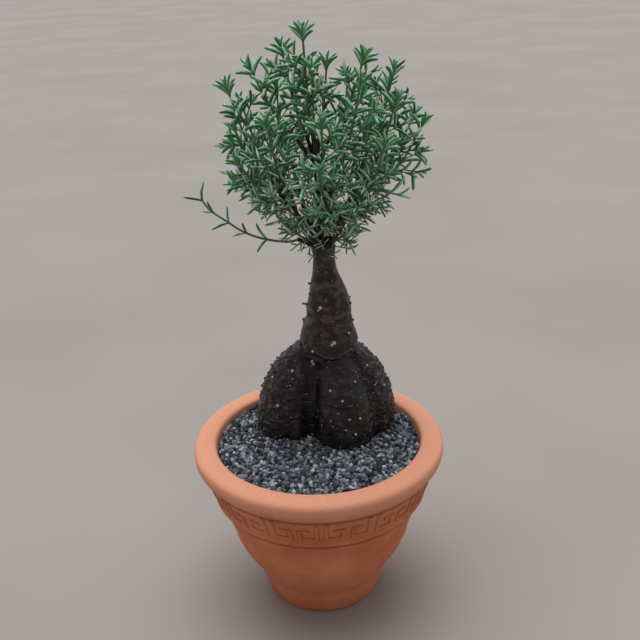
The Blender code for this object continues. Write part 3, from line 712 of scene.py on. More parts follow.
# %% [markdown]
# The grit is crushed grey stone of 2 to 4 mm, with a few brown and pale grains. Its broken faces
# are matt and specked. Each stone starts as a ball of 35 flat faces. Points are spread over a bed
# that fits between the plant and the pot, about 2 mm from one another, so the stones lie packed. A
# noise then chips every stone in its own way.

# %% Grit
STONE_SHADES = ("#191C20", "#353B44", "#59616D", "#78818E", "#98A0AA", "#C0C4C7", "#57504A")
STONE_STOPS = (0.0, 0.2, 0.45, 0.7, 0.86, 0.95, 1.0)
SPECK = 1.2


def crushed_stone(tree, place):
    tint = add(tree, "ShaderNodeAttribute", out="Fac", attribute_name="tint")
    tone = add(tree, "ShaderNodeValToRGB", {0: tint}, stops=zip(STONE_STOPS, STONE_SHADES))
    speck = add(tree, "ShaderNodeTexNoise", {"Vector": place, "Scale": 1 / (SPECK * MM),
                                             "Detail": 3.0, "Roughness": 0.7})
    light = add(tree, "ShaderNodeMapRange", {0: speck, 1: 0.3, 2: 0.7, 3: 0.7, 4: 1.3})
    mixed = add(tree, "ShaderNodeVectorMath", {0: tone, 3: light}, operation="SCALE")
    rough = add(tree, "ShaderNodeBump", {"Strength": 0.5, "Distance": 0.2 * MM, "Height": speck})
    return {"Base Color": mixed, "Roughness": 0.78, "IOR": 1.5, "Normal": rough}


grit_stone = new_material("crushed_stone", crushed_stone)


# %% Tree that scatters stones
def stony(tree, given):
    spots = add(tree, "GeometryNodeDistributePointsOnFaces",
                {"Mesh": given["Geometry"], "Distance Min": given["Spacing"],
                 "Density Max": 900000.0, "Seed": given["Seed"]}, distribute_method="POISSON")
    lift, shape, turn = (
        add(tree, "FunctionNodeRandomValue", {0: low, 1: high, "Seed": seed},
            data_type="FLOAT_VECTOR")
        for low, high, seed in (((0.0, 0.0, -0.0004), (0.0, 0.0, 0.0014), 2),
                                ((0.7, 0.65, 0.55), (1.35, 1.1, 0.95), 4),
                                ((-1.2, -1.2, 0.0), (1.2, 1.2, 6.283), 6)))
    heaped = add(tree, "GeometryNodeSetPosition", {0: spots, "Offset": lift})
    ball = add(tree, "GeometryNodeMeshUVSphere", {"Segments": 7, "Rings": 5, "Radius": 1.0})
    size = add(tree, "ShaderNodeVectorMath", {0: shape, 3: given["Stone radius"]},
               operation="SCALE")
    stones = add(tree, "GeometryNodeInstanceOnPoints",
                 {"Points": heaped, "Instance": ball, "Rotation": turn, "Scale": size})
    tint = add(tree, "FunctionNodeRandomValue", {2: 0.0, 3: 1.0, "Seed": 7}, 1)
    tinted = add(tree, "GeometryNodeStoreNamedAttribute",
                 {0: stones, "Name": "tint", "Value": tint},
                 domain="INSTANCE")
    real = add(tree, "GeometryNodeRealizeInstances", {0: tinted})
    per_size = add(tree, "ShaderNodeMath", {0: 1.0, 1: given["Chip size"]}, operation="DIVIDE")
    chips = add(tree, "ShaderNodeTexNoise", {"Vector": add(tree, "GeometryNodeInputPosition"),
                                             "Scale": per_size, "Detail": 1.0}, "Color")
    level = add(tree, "ShaderNodeVectorMath", {0: chips, 1: (0.5, 0.5, 0.5)}, operation="SUBTRACT")
    push = add(tree, "ShaderNodeVectorMath", {0: level, 3: given["Chip depth"]}, operation="SCALE")
    chipped = add(tree, "GeometryNodeSetPosition", {0: real, "Offset": push})
    return ended(tree, [given["Geometry"], chipped], given["Stone"], smooth=False)


grit = new_tree("grit", stony, Spacing=0.00213, Stone_radius=0.0017, Chip_size=0.0016,
                Chip_depth=0.0034, Seed=5, Stone=None)

# %% Make the bed of grit
BED_TOP = 122.3
BED_DIP = 0.9
BED_FOOT = 113.0
BED_COLUMNS = 144
BED_RINGS = 12
BED_RADIUS = 71.4
BED_OVERLAP = 0.8


def bed_mesh():
    """A closed ring of ground: dark fines between the plant and the wall, under the stones."""
    turn = np.linspace(-math.pi, math.pi, BED_COLUMNS, endpoint=False)
    inner = caudex_reach(turn, np.full(turn.shape, BED_TOP)) - BED_OVERLAP
    ox, oy = CAUDEX_AXIS
    ahead = ox * np.cos(turn) + oy * np.sin(turn)
    outer = np.sqrt(ahead ** 2 + BED_RADIUS ** 2 - ox * ox - oy * oy) - ahead
    shares = [ring / (BED_RINGS - 1) for ring in range(BED_RINGS)]
    rows = [(inner * (1 - share) + outer * share, BED_TOP - BED_DIP * math.sin(math.pi * share))
            for share in shares]
    places = [np.stack((ox + reach * np.cos(turn), oy + reach * np.sin(turn),
                        np.full(turn.shape, height)), axis=-1)
              for reach, height in (*rows, (outer, BED_FOOT), (inner, BED_FOOT))]
    mesh = wrapped("bed", np.array(places), closed=True)
    store(mesh, "tint", np.full(len(mesh.vertices), 0.05))
    return mesh


gravel = grown("grit_bed", bed_mesh(), grit, Stone=grit_stone)
print("grit:", stand_in(gravel, "gravel"), "triangles")

# %% [markdown]
# The crown is a ball of thin shoots on a few limbs. Each stem's place is planned first, by the same
# rules and the same random draws as in the solids, so every spray stays where its own solid is. The
# shoot tips that make the outline are listed. The others fill an ellipsoid, each as far from its
# neighbours as it can be, because leaves spread to where there is light.

# %% Tips of the shoots
CROWN = (11.0, 20.0, 338.0)
CROWN_RADII = (66.0, 62.0, 64.0)
OUTLINE_TIPS = (
    (0, 14, 407), (-14, 26, 397), (-34, 14, 387), (-50, 22, 374), (5, -4, 388), (15, 38, 385),
    (38, 12, 391), (58, 26, 381), (57, 0, 366), (73, 36, 350), (76, 12, 349), (62, 26, 334),
    (51, 0, 318), (40, 32, 307), (30, 6, 294), (-46, 14, 348), (-45, 34, 334), (-41, 8, 313),
    (-27, 24, 301),
)
LOW_TIPS = ((27, 10, 281), (-14, 32, 276), (24, 36, 284), (4, 44, 284))
LOW_TWIG = ((-8, 12, 273), (-16, 8, 273), (-31, 4, 277), (-44, 2, 283), (-55, 2, 291),
            (-65, 4, 298), (-71, 6, 306))
FILL_TIPS = 18
FILL_CHOICES = 400
FILL_LOWEST = 304.0


def crown_tips():
    """Ends of the shoots: those of the outline as listed, and others spread over the crown."""
    tips = [Vector(tip) for tip in OUTLINE_TIPS]
    wide = []
    for index in range(FILL_CHOICES):
        level = 1.0 - 2.0 * (index + 0.5) / FILL_CHOICES
        turn = index * math.pi * (3.0 - math.sqrt(5.0))
        flat = math.sqrt(1.0 - level * level)
        offset = (flat * math.cos(turn), flat * math.sin(turn), level)
        tip = Vector(c + r * o for c, r, o in zip(CROWN, CROWN_RADII, offset))
        if tip.z > FILL_LOWEST:
            wide.append(tip)
    for _ in range(FILL_TIPS):
        tips.append(max(wide, key=lambda tip: min((tip - taken).length for taken in tips)))
    return tips


shoot_tips = crown_tips()
print("tips set by hand:", len(OUTLINE_TIPS) + len(LOW_TIPS) + 1, "others:", FILL_TIPS)

# %% Limbs that carry the tips
HEAD = Vector((8.5, 20.0, 262.0))
LIMBS = 9


def limb_groups(tips):
    """Tips sorted by the limb that carries them: limbs point as far apart as the tips allow."""
    ways = [(tip - HEAD).normalized() for tip in tips]
    chosen = [0]
    while len(chosen) < LIMBS:
        chosen.append(min(range(len(ways)),
                          key=lambda i: max(ways[i].dot(ways[c]) for c in chosen)))
    groups = [[] for _ in chosen]
    for tip, way in zip(tips, ways):
        groups[max(range(LIMBS), key=lambda g: way.dot(ways[chosen[g]]))].append(tip)
    return groups


limb_tips = limb_groups(shoot_tips)
print("limbs:", len(limb_tips), "tips on each:", [len(group) for group in limb_tips])

# %% Plan of the limbs and stems
# A limb forks at this share of the way to its tips, and each stub ends at this share of the way
# from there to its tip. A stem starts a little beyond its stub.
LIMB_REACH = 0.44
LIMB_SAG = -0.04
STUB_REACH = 0.30
LOW_REACH = 0.45
LIMB_RADIUS = (2.6, 1.8)
STUB_RADIUS = (0.7, 1.2)
KNOT = 3.0
KNOT_TAPER = 0.7
STEM_SAG = (-0.22, -0.11)
SEED = 11
CLEAR = 0.4
UP = Vector((0.0, 0.0, 1.0))


def bent(start, end, sag, steps):
    """Points on a line that hangs below its chord in the middle, as a twig that turns up does."""
    return [start.lerp(end, i / steps) + sag * (4.0 * (i / steps) * (1.0 - i / steps))
            for i in range(steps + 1)]


def plan_stems(draw):
    """The wood that stays with the trunk, as points and radii, and the line of each stem."""
    wood, starts = [], []
    for group in limb_tips:
        middle = sum(group, Vector()) / len(group)
        fork = HEAD.lerp(middle, LIMB_REACH)
        limb = bent(HEAD, fork, UP * LIMB_SAG * (fork - HEAD).length, 2)
        knot = limb[-1] + (limb[-1] - limb[-2]).normalized() * KNOT
        wood.append(([*limb, knot], (*np.linspace(*LIMB_RADIUS, 3), LIMB_RADIUS[1] * KNOT_TAPER)))
        for tip in group:
            end = fork.lerp(tip, STUB_REACH)
            wood.append(([limb[-1], end], STUB_RADIUS))
            starts.append((end, tip, limb))
    for low in LOW_TIPS:
        end = HEAD.lerp(Vector(low), LOW_REACH)
        wood.append(([HEAD, end], STUB_RADIUS))
        starts.append((end, Vector(low), [HEAD, end]))
    wood.append(([HEAD, Vector(LOW_TWIG[0])], STUB_RADIUS))
    stems = []
    for end, tip, _ in starts:
        foot = end + (tip - end).normalized() * CLEAR
        stems.append(bent(foot, tip, UP * draw.uniform(*STEM_SAG) * (tip - foot).length, 2))
    twig = [Vector(point) for point in LOW_TWIG]
    twig[0] += (twig[1] - twig[0]).normalized() * CLEAR
    return wood, [*stems, twig], [limb for *_, limb in starts]


shared_draw = random.Random(SEED)
wood, stem_lines, stem_limbs = plan_stems(shared_draw)
print("limbs and stubs:", len(wood), "stems:", len(stem_lines))

# %% [markdown]
# The leaves of this plant stand in opposite pairs, each pair turned a quarter round the stem from
# the next. A leaf is a plump finger of about 14 mm that leaves the stem steeply and arches
# outwards, so that each pair looks like a pair of wings. Before a leaf is placed, its distance to
# all other sprays is measured, and it is swung aside or left out where another one is in its way.

# %% Room for each leaf
NEARBY = 30.0
SAMPLES = np.array((0.0, 0.25, 0.5, 0.75, 1.0))[:, None]
# The owner of the wood that stays with the trunk, in place of a spray's number
WOOD = -1


class Space:
    """Tubes that a new one is kept clear of, each with the number of the spray that owns it."""

    def __init__(self, room=20000):
        self.rows = np.zeros((room, 8))
        self.used = 0

    def add(self, owner, points, radii):
        for a, b, ra, rb in zip(points, points[1:], radii, radii[1:]):
            self.rows[self.used] = (*a, *b, max(ra, rb), owner)
            self.used += 1

    def gap(self, owner, points, radii, lowest=WOOD):
        """Smallest clearance between a new tube and what others own nearby, from a lowest owner."""
        rows = self.rows[:self.used]
        run = rows[:, 3:6] - rows[:, :3]
        far = np.linalg.norm(rows[:, :3] - np.array(points[0]), axis=1)
        far -= np.linalg.norm(run, axis=1)
        near = (rows[:, 7] != owner) & (rows[:, 7] >= lowest) & (far < NEARBY)
        rows, run = rows[near], run[near]
        smallest = math.inf
        for a, b, ra, rb in zip(points, points[1:], radii, radii[1:]):
            spots = np.array(a) * (1.0 - SAMPLES) + np.array(b) * SAMPLES
            towards = spots[:, None] - rows[:, :3]
            square = np.maximum((run * run).sum(axis=1), 1e-9)
            along = np.clip((towards * run).sum(axis=2) / square, 0.0, 1.0)
            away = np.linalg.norm(towards - run * along[..., None], axis=2) - rows[:, 6]
            smallest = min(smallest, float(away.min(initial=math.inf)) - max(ra, rb))
        return smallest


space = Space()
print("room for", len(space.rows), "tubes")

# %% Line of one leaf
LEAF_ARCH = 16.0
LEAF_BEND = 0.55
CROWN_LIMIT = 88.0
CROWN_TOP = 414.95
CONE_FOOT = 20.0
CONE_DROP = 4.0


def outwards(along, side, turn):
    """Direction that leaves a stem squarely, turned about it from its side."""
    first = (side - along * side.dot(along)).normalized()
    return first * math.cos(turn) + along.cross(first) * math.sin(turn)


def leaf_line(root, along, out, lean, length):
    """Middle line of a leaf that leaves its stem steeply and arches outwards to its tip."""
    line = [root]
    for step, angle in enumerate((lean - LEAF_ARCH, lean + LEAF_ARCH)):
        way = along * math.cos(math.radians(angle)) + out * math.sin(math.radians(angle))
        line.append(line[-1] + way * length * (LEAF_BEND, 1.0 - LEAF_BEND)[step])
    return line


def inside_limits(line):
    return all(math.hypot(p.x, p.y) < CROWN_LIMIT and p.z < CROWN_TOP for p in line)


def inside_cone(line):
    """The crown's foot is a cone that opens from just below the trunk's head."""
    return all(p.z > HEAD.z - CONE_DROP
               and math.hypot(p.x - HEAD.x, p.y - HEAD.y) < CONE_FOOT + p.z - HEAD.z for p in line)


print("a leaf arches by", 2 * LEAF_ARCH, "degrees")

# %% One spray
LEAF_RADII = (0.2, 1.4, 0.02)
LEAF_SWINGS = (0.0, 12.0, -12.0, 24.0)
LEAF_LENGTH = (13.5, 16.0)
LEAF_GAP = 0.45
DRESS_GAP = -0.5


class Spray:
    """One stem with its side shoots and leaves."""

    def __init__(self, number, line, draw):
        self.number = number
        self.draw = draw
        self.twigs = []
        self.leaves = []
        self.shoots = []
        self.line = line

    def add_twig(self, line, radii):
        self.twigs.append((line, radii))
        space.add(self.number, line, radii)

    def has_room(self, line, extra):
        """True where a leaf is clear of other sprays. An extra one may touch them and the wood."""
        if extra:
            clear = space.gap(self.number, line, LEAF_RADII, lowest=0) > DRESS_GAP
            return clear and inside_limits(line) and inside_cone(line)
        return space.gap(self.number, line, LEAF_RADII) > LEAF_GAP and inside_limits(line)

    def add_pair(self, root, along, side, turn, lean, size, young=0.0, extra=False):
        """Two opposite leaves, each left out where it can't be swung clear of other sprays."""
        for half in (0.0, math.pi):
            out = outwards(along, side, turn + half)
            length = self.draw.uniform(*LEAF_LENGTH) * size
            for swing in LEAF_SWINGS:
                line = leaf_line(root, along, out, lean + swing, length)
                if self.has_room(line, extra):
                    self.leaves.append((line[0], line[2], out, young))
                    space.add(self.number, line, LEAF_RADII)
                    break


print("a pair is swung by up to", max(LEAF_SWINGS), "degrees to find room")

# %% Side shoots and leaf pairs of a stem
STEM_RADIUS = (1.15, 0.95)
QUARTER = math.pi / 2
SHOOT_RADIUS = (0.55, 0.75)
SHOOT_STARTS = (0.42, 0.66)
SHOOT_LENGTH = (15.0, 21.0)
SHOOT_LEAN = math.radians(46.0)
# Two pairs at the tip: set back, turn in quarters, lean in degrees, size. Then one in the middle
# of the stem and one at each side shoot's tip.
TIP_PAIRS = ((6.0, 0.5, 58.0, 1.0), (2.0, 1.5, 38.0, 0.8))
STEM_PAIR = (0.84, 0.55, 60.0, 0.95)
SHOOT_PAIR = (2.4, 50.0, 0.92)
# How young the leaves at the ends of stems and of side shoots are, where 1 is a new leaf
TIP_YOUNG = 0.6
SIDE_YOUNG = 0.4


def on_stem(stem, share):
    """Point on a bent stem of three points, and the direction it grows in there."""
    first = share < 0.5
    low, high = (stem[0], stem[1]) if first else (stem[1], stem[2])
    return low.lerp(high, share * 2.0 - (0.0 if first else 1.0)), (high - low).normalized()


def plan_spray(spray):
    """A stem with two side shoots, and leaf pairs at the ends and along it."""
    draw, tip = spray.draw, spray.line[2]
    run = tip - spray.line[0]
    spray.side = outwards(run.normalized(), run.orthogonal(), draw.uniform(0.0, math.pi))
    tubes = [(spray.line, np.linspace(*STEM_RADIUS, 3))]
    along = (spray.line[2] - spray.line[1]).normalized()
    for back, turn, lean, size in TIP_PAIRS:
        spray.add_pair(tip - along * back, along, spray.side, QUARTER * turn, lean, size,
                       TIP_YOUNG)
    for index, share in enumerate(SHOOT_STARTS):
        root, along = on_stem(spray.line, share)
        out = outwards(along, spray.side, QUARTER * (0.5 + index + 2 * draw.randrange(2)))
        way = along * math.cos(SHOOT_LEAN) + out * math.sin(SHOOT_LEAN)
        shoot = [root, root + way * min(draw.uniform(*SHOOT_LENGTH), run.length * 0.5)]
        if space.gap(spray.number, shoot, SHOOT_RADIUS) < LEAF_GAP or not inside_limits(shoot):
            continue
        tubes.append((shoot, SHOOT_RADIUS))
        spray.shoots.append((shoot, along))
        back, lean, size = SHOOT_PAIR
        spray.add_pair(shoot[1] - way * back, way, along, QUARTER / 2, lean, size,
                       SIDE_YOUNG)
    share, least, lean, size = STEM_PAIR
    root, along = on_stem(spray.line, max(least, share - TIP_PAIRS[0][0] / run.length))
    spray.add_pair(root, along, spray.side, QUARTER * 1.5, lean, size)
    for line, radii in tubes:
        spray.add_twig(line, radii)


print("side shoots tried on each stem:", len(SHOOT_STARTS))

# %% Leaves that the solids have too
STEM_MARGIN = 0.8
TWIG_PAIR = (2.5, 58.0, 0.95)
TWIG_TIP_LEAN = 45.0


def plan_low_twig(spray):
    """The long, sparse twig below the crown, with a leaf pair at each of its outer points."""
    line = spray.line
    back, stem_lean, size = TWIG_PAIR
    for index in range(2, len(line)):
        along = (line[index] - line[index - 1]).normalized()
        lean = stem_lean if index < len(line) - 1 else TWIG_TIP_LEAN
        spray.add_pair(line[index] - along * back, along, UP, QUARTER * (0.5 + index), lean, size)
    spray.add_twig(line, np.linspace(*STEM_RADIUS, len(line)))


for line, radii in wood:
    space.add(WOOD, line, radii)
for number, line in enumerate(stem_lines):
    space.add(number, line, [STEM_RADIUS[0] + STEM_MARGIN] * len(line))
sprays = [Spray(number, line, shared_draw) for number, line in enumerate(stem_lines)]
for spray in sprays:
    (plan_low_twig if len(spray.line) > 3 else plan_spray)(spray)
print("leaves that the solids have too:", sum(len(spray.leaves) for spray in sprays))

# %% [markdown]
# The solids carry only a few leaves each, because a solid has to stay light. The real shoots are
# leafy down to a third of their length, and short side shoots fill the spaces between them. A
# second pass adds those, with its own random draws, so the leaves above stay where they are.

# %% Short shoots that fill the gaps
ACROSS = Vector((1.0, 0.0, 0.0))
SHOOT_YOUNG = 0.3
FILLER_SHARES = (0.04, 0.14, 0.26, 0.4, 0.56, 0.74)
FILLER_SHIFT = (-0.06, 0.06)
FILLER_LEAN = (38.0, 62.0)
FILLER_LENGTH = (9.0, 16.0)
FILLER_RADIUS = (0.5, 0.6)
FILLER_PAIRS = ((5.5, 0.0, 60.0, 0.8), (2.2, 1.0, 44.0, 0.75), (0.3, 2.0, 18.0, 0.5))
INNER_SHARES = (0.2, 0.36, 0.52, 0.68, 0.84, 1.0, 1.04)
INNER_SHIFT = (-0.08, 0.0)
INNER_LEAN = (45.0, 80.0)
INNER_LENGTH = (9.0, 19.0)
INNER_RADIUS = (0.45, 0.5)
INNER_PAIRS = ((7.0, 0.0, 58.0, 0.6), (3.6, 1.0, 50.0, 0.6), (0.6, 2.0, 32.0, 0.55))


def add_shoot(spray, root, way, side, length, radii, pairs):
    """A short side shoot with leaf pairs, where there is room for it."""
    shoot = [root, root + way * length]
    if space.gap(spray.number, shoot, radii, lowest=0) > 0.0 and inside_limits(shoot):
        spray.add_twig(shoot, radii)
        for back, turn, lean, size in pairs:
            spray.add_pair(shoot[1] - way * back, way, side, QUARTER * turn, lean, size,
                           SHOOT_YOUNG, extra=True)


def add_fillers(spray):
    """Short side shoots between those that the solid has."""
    draw = spray.draw
    for share in FILLER_SHARES:
        root, along = on_stem(spray.line, share + draw.uniform(*FILLER_SHIFT))
        out = outwards(along, spray.side, draw.uniform(0.0, 2 * math.pi))
        lean = math.radians(draw.uniform(*FILLER_LEAN))
        way = along * math.cos(lean) + out * math.sin(lean)
        add_shoot(spray, root, way, along, draw.uniform(*FILLER_LENGTH), FILLER_RADIUS,
                  FILLER_PAIRS)


def add_inner(spray, limb):
    """Small, thin shoots on the limb below a spray, which hide the trunk's head."""
    draw = spray.draw
    for share in INNER_SHARES:
        root = limb[0].lerp(limb[-1], share + draw.uniform(*INNER_SHIFT))
        along = (limb[-1] - limb[0]).normalized()
        turn = draw.uniform(0.0, 2 * math.pi)
        lean = math.radians(draw.uniform(*INNER_LEAN))
        way = along * math.cos(lean) + outwards(along, ACROSS, turn) * math.sin(lean)
        add_shoot(spray, root, way, along, draw.uniform(*INNER_LENGTH), INNER_RADIUS, INNER_PAIRS)


print("short shoots tried on each stem:", len(FILLER_SHARES), "and limb:", len(INNER_SHARES))

# %% The rest of the leaves
DRESS_SEED = 23
FIRST_PAIR = 6.0
PAIR_STEP = 8.5
PAIR_LEAN = (56.0, 72.0)
PAIR_SIZE = (0.85, 1.05)
LEAFY_FROM = 0.2
# Leaves of a rosette at a tip: set back, turn in quarters, lean in degrees, size, how young
ROSETTE = ((4.0, 1.0, 48.0, 0.8, 0.6), (0.9, 0.5, 26.0, 0.62, 0.9), (0.2, 1.5, 10.0, 0.42, 1.0))
SHOOT_ROSETTE = ((5.4, 1.5, 62.0, 0.95, 0.2), (1.0, 1.5, 30.0, 0.66, 0.8),
                 (0.2, 0.5, 12.0, 0.42, 1.0))


def add_rosette(spray, tip, along, side, pairs):
    """Small leaves close together at the end of a shoot."""
    for back, turn, lean, size, young in pairs:
        spray.add_pair(tip - along * back, along, side, QUARTER * turn, lean, size, young,
                       extra=True)


def add_rest(spray):
    """Leaf pairs down the stem, rosettes at the tips, and fillers."""
    draw = spray.draw
    length = (spray.line[-1] - spray.line[0]).length
    along = (spray.line[-1] - spray.line[-2]).normalized()
    add_rosette(spray, spray.line[-1], along, spray.side, ROSETTE)
    for shoot, side in spray.shoots:
        add_rosette(spray, shoot[1], (shoot[1] - shoot[0]).normalized(), side, SHOOT_ROSETTE)
    step = 1
    while (back := FIRST_PAIR + PAIR_STEP * step) < length * (1.0 - LEAFY_FROM):
        root, along = on_stem(spray.line, 1.0 - back / length)
        spray.add_pair(root, along, spray.side, QUARTER * (step + 0.5), draw.uniform(*PAIR_LEAN),
                       draw.uniform(*PAIR_SIZE), extra=True)
        step += 1
    add_fillers(spray)


dress_draw = random.Random(DRESS_SEED)
for spray, limb in zip(sprays, stem_limbs):
    spray.draw = dress_draw
    add_rest(spray)
    add_inner(spray, limb)
print("leaves:", sum(len(spray.leaves) for spray in sprays),
      "twigs:", sum(len(spray.twigs) for spray in sprays))

# %% [markdown]
# A leaf of this plant is smooth, plump and a fresh, slightly bluish green. The glisten of its skin
# cells is a painted sheen: a pale mint colour painted in patches, most of all on the upper side.
# Old leaves turn darker, young ones at the tips are lighter. Twigs are green at first and grow a
# thin brown bark.

# %% Leaf and twig finishes
LEAF_GREENS = ("#104228", "#1B613B", "#2F824A", "#5A9F52")
# Pale mint painted on the leaves in patches, a painted sheen
PAINTED_SHEEN = "#C6E6D2"
YOUNG = "#62AD72"
TWIG_BARK = ("#3A2E24", "#5E4E3D", "#87755C")
TWIG_GREEN = "#527A45"
SKIN_CELL = 0.45
LEAF_PATCH = 4.0
TWIG_PATCH = 2.2


def leaf_skin(tree, place):
    tint, young, upper = (add(tree, "ShaderNodeAttribute", out="Fac", attribute_name=name)
                          for name in ("tint", "young", "upper"))
    tone = add(tree, "ShaderNodeValToRGB", {0: tint}, stops=zip((0.0, 0.4, 0.75, 1.0), LEAF_GREENS))
    youth = add(tree, "ShaderNodeMath", {0: young, 1: 0.45}, operation="MULTIPLY")
    fresh = add(tree, "ShaderNodeMix", {0: youth, 6: tone, 7: YOUNG}, 2, data_type="RGBA")
    patch = add(tree, "ShaderNodeTexNoise", {"Vector": place, "Scale": 1 / (LEAF_PATCH * MM),
                                             "Detail": 3.0})
    # Painted sheen: pale mint in patches, most of all on the top side of each leaf
    sheen_patches = add(tree, "ShaderNodeMath", {0: upper, 1: patch}, operation="MULTIPLY")
    share = add(tree, "ShaderNodeMapRange", {0: sheen_patches, 1: 0.2, 2: 0.56, 4: 0.74})
    mint = add(tree, "ShaderNodeMix", {0: share, 6: fresh, 7: PAINTED_SHEEN}, 2, data_type="RGBA")
    cells = add(tree, "ShaderNodeTexVoronoi", {"Vector": place, "Scale": 1 / (SKIN_CELL * MM)})
    bump = add(tree, "ShaderNodeBump", {"Strength": 0.35, "Distance": 0.12 * MM, "Height": cells})
    return {"Base Color": mint, "Roughness": 0.36, "IOR": 1.42, "Normal": bump,
            "Subsurface Weight": 0.12, "Subsurface Scale": 1.0,
            "Subsurface Radius": (0.6 * MM, 1.2 * MM, 0.4 * MM)}


def twig_skin(tree, place):
    patch = add(tree, "ShaderNodeTexNoise", {"Vector": place, "Scale": 1 / (TWIG_PATCH * MM),
                                             "Detail": 5.0, "Roughness": 0.6})
    tone = add(tree, "ShaderNodeValToRGB", {0: patch}, stops=zip((0.3, 0.5, 0.7), TWIG_BARK))
    green = add(tree, "ShaderNodeAttribute", out="Fac", attribute_name="green")
    fresh = add(tree, "ShaderNodeMix", {0: green, 6: tone, 7: TWIG_GREEN}, 2, data_type="RGBA")
    bump = add(tree, "ShaderNodeBump", {"Strength": 0.5, "Distance": 0.2 * MM, "Height": patch})
    return {"Base Color": fresh, "Roughness": 0.7, "IOR": 1.45, "Normal": bump}


leaf_green = new_material("leaf_skin", leaf_skin)
twig_brown = new_material("twig_skin", twig_skin)

# %% [markdown]
# One tree makes a whole spray. Its seed mesh holds loose points, one for each leaf, and edges,
# which are the twigs. A leaf is a curved line of unit length with a flattened ring swept along it:
# thin at the neck, widest past the middle and blunt at the tip. It is set on each point, turned to
# that leaf's own direction and scaled to its own length. Three shapes, from nearly straight to
# well arched, are drawn at random. About eighty triangles are enough for one leaf.

# %% Shapes of a leaf and a twig
LEAF_ARCHES = (0.1, 0.17, 0.25)


def leaf_shape(tree, given, arch):
    """One leaf of unit length along Z, arched to +X."""
    line = add(tree, "GeometryNodeCurveQuadraticBezier",
               {"Resolution": 7, "Start": (0.0, 0.0, 0.0), "Middle": (arch, 0.0, 0.5),
                "End": (0.0, 0.0, 1.0)})
    along = add(tree, "GeometryNodeSplineParameter", out="Factor")
    power = add(tree, "ShaderNodeMath", {0: along, 1: 6.0}, operation="POWER")
    left = add(tree, "ShaderNodeMath", {0: 1.0, 1: power}, operation="SUBTRACT")
    blunt = add(tree, "ShaderNodeMath", {0: left, 1: 0.5}, operation="POWER")
    neck = add(tree, "ShaderNodeMapRange", {0: along, 1: 0.0, 2: 0.45, 3: 0.55, 4: 1.0},
               interpolation_type="SMOOTHSTEP")
    wide = add(tree, "ShaderNodeMath", {0: blunt, 1: neck}, operation="MULTIPLY")
    ring = add(tree, "GeometryNodeCurvePrimitiveCircle", {"Resolution": 6,
                                                          "Radius": given["Leaf half width"]})
    flat = add(tree, "GeometryNodeTransform", {0: ring, 3: (0.8, 1.0, 1.0)})
    skin = add(tree, "GeometryNodeCurveToMesh", {"Curve": line, "Profile Curve": flat,
                                                 "Scale": wide, "Fill Caps": True})
    closed = add(tree, "GeometryNodeMergeByDistance", {0: skin, 2: 0.003})
    # The side of each leaf that gets the painted sheen
    facing = add(tree, "ShaderNodeSeparateXYZ", {0: add(tree, "GeometryNodeInputNormal")})
    upper = add(tree, "ShaderNodeMapRange", {0: facing, 1: -0.6, 2: 0.8})
    marked = add(tree, "GeometryNodeStoreNamedAttribute",
                 {0: closed, "Name": "upper", "Value": upper})
    return add(tree, "GeometryNodeGeometryToInstance", {0: marked})


def tubes(tree, lines, step, sides):
    """Round tubes along the edges of a mesh, each point as thick as its girth says."""
    paths = add(tree, "GeometryNodeMeshToCurve", {0: lines})
    eased = add(tree, "GeometryNodeCurveSplineType", {0: paths}, spline_type="CATMULL_ROM")
    even = add(tree, "GeometryNodeResampleCurve", {0: eased, "Length": step}, mode="LENGTH")
    ring = add(tree, "GeometryNodeCurvePrimitiveCircle", {"Resolution": sides, "Radius": 1.0})
    girth = add(tree, "GeometryNodeInputNamedAttribute", {"Name": "girth"})
    return add(tree, "GeometryNodeCurveToMesh", {"Curve": even, "Profile Curve": ring,
                                                 "Scale": girth, "Fill Caps": True})


print("leaf shapes:", len(LEAF_ARCHES))

# %% Tree that grows a spray
# What the seed mesh keeps at each of its points
SEED_NUMBERS = {"is_leaf": "BOOLEAN", "along": "FLOAT_VECTOR", "bulge": "FLOAT_VECTOR",
                **dict.fromkeys(("length", "breadth", "girth", "tint", "young", "green"), "FLOAT")}


def leafy(tree, given):
    is_leaf, upwards, bulge, length, breadth = (
        add(tree, "GeometryNodeInputNamedAttribute", {"Name": name}, data_type=SEED_NUMBERS[name])
        for name in ("is_leaf", "along", "bulge", "length", "breadth"))
    parts = add(tree, "GeometryNodeSeparateGeometry", {0: given["Geometry"], "Selection": is_leaf})
    points = add(tree, "GeometryNodeMeshToPoints", {0: parts})
    shapes = add(tree, "GeometryNodeJoinGeometry",
                 {0: [leaf_shape(tree, given, arch) for arch in LEAF_ARCHES]})
    choice = add(tree, "FunctionNodeRandomValue", {4: 0, 5: len(LEAF_ARCHES) - 1, "Seed": 12}, 2,
                 data_type="INT")
    turn = add(tree, "FunctionNodeAxesToRotation", {0: upwards, 1: bulge},
               primary_axis="Z", secondary_axis="X")
    size = add(tree, "ShaderNodeCombineXYZ", {0: breadth, 1: breadth, 2: length})
    leaves = add(tree, "GeometryNodeInstanceOnPoints",
                 {"Points": points, "Instance": shapes, "Pick Instance": True,
                  "Instance Index": choice, "Rotation": turn, "Scale": size})
    twigs = tubes(tree, parts.node.outputs["Inverted"], given["Twig step"], 6)
    both = [add(tree, "GeometryNodeSetMaterial", {0: part, "Material": given[name]})
            for part, name in ((leaves, "Leaf"), (twigs, "Twig"))]
    whole = add(tree, "GeometryNodeJoinGeometry", {0: both})
    smooth = add(tree, "GeometryNodeSetShadeSmooth", {0: whole})
    return add(tree, "GeometryNodeRealizeInstances", {0: smooth})


grow_spray = new_tree("spray", leafy, Leaf_half_width=0.1, Twig_step=0.003, Leaf=None, Twig=None)

# %% Make the sprays
TINT_SPREAD = 0.15
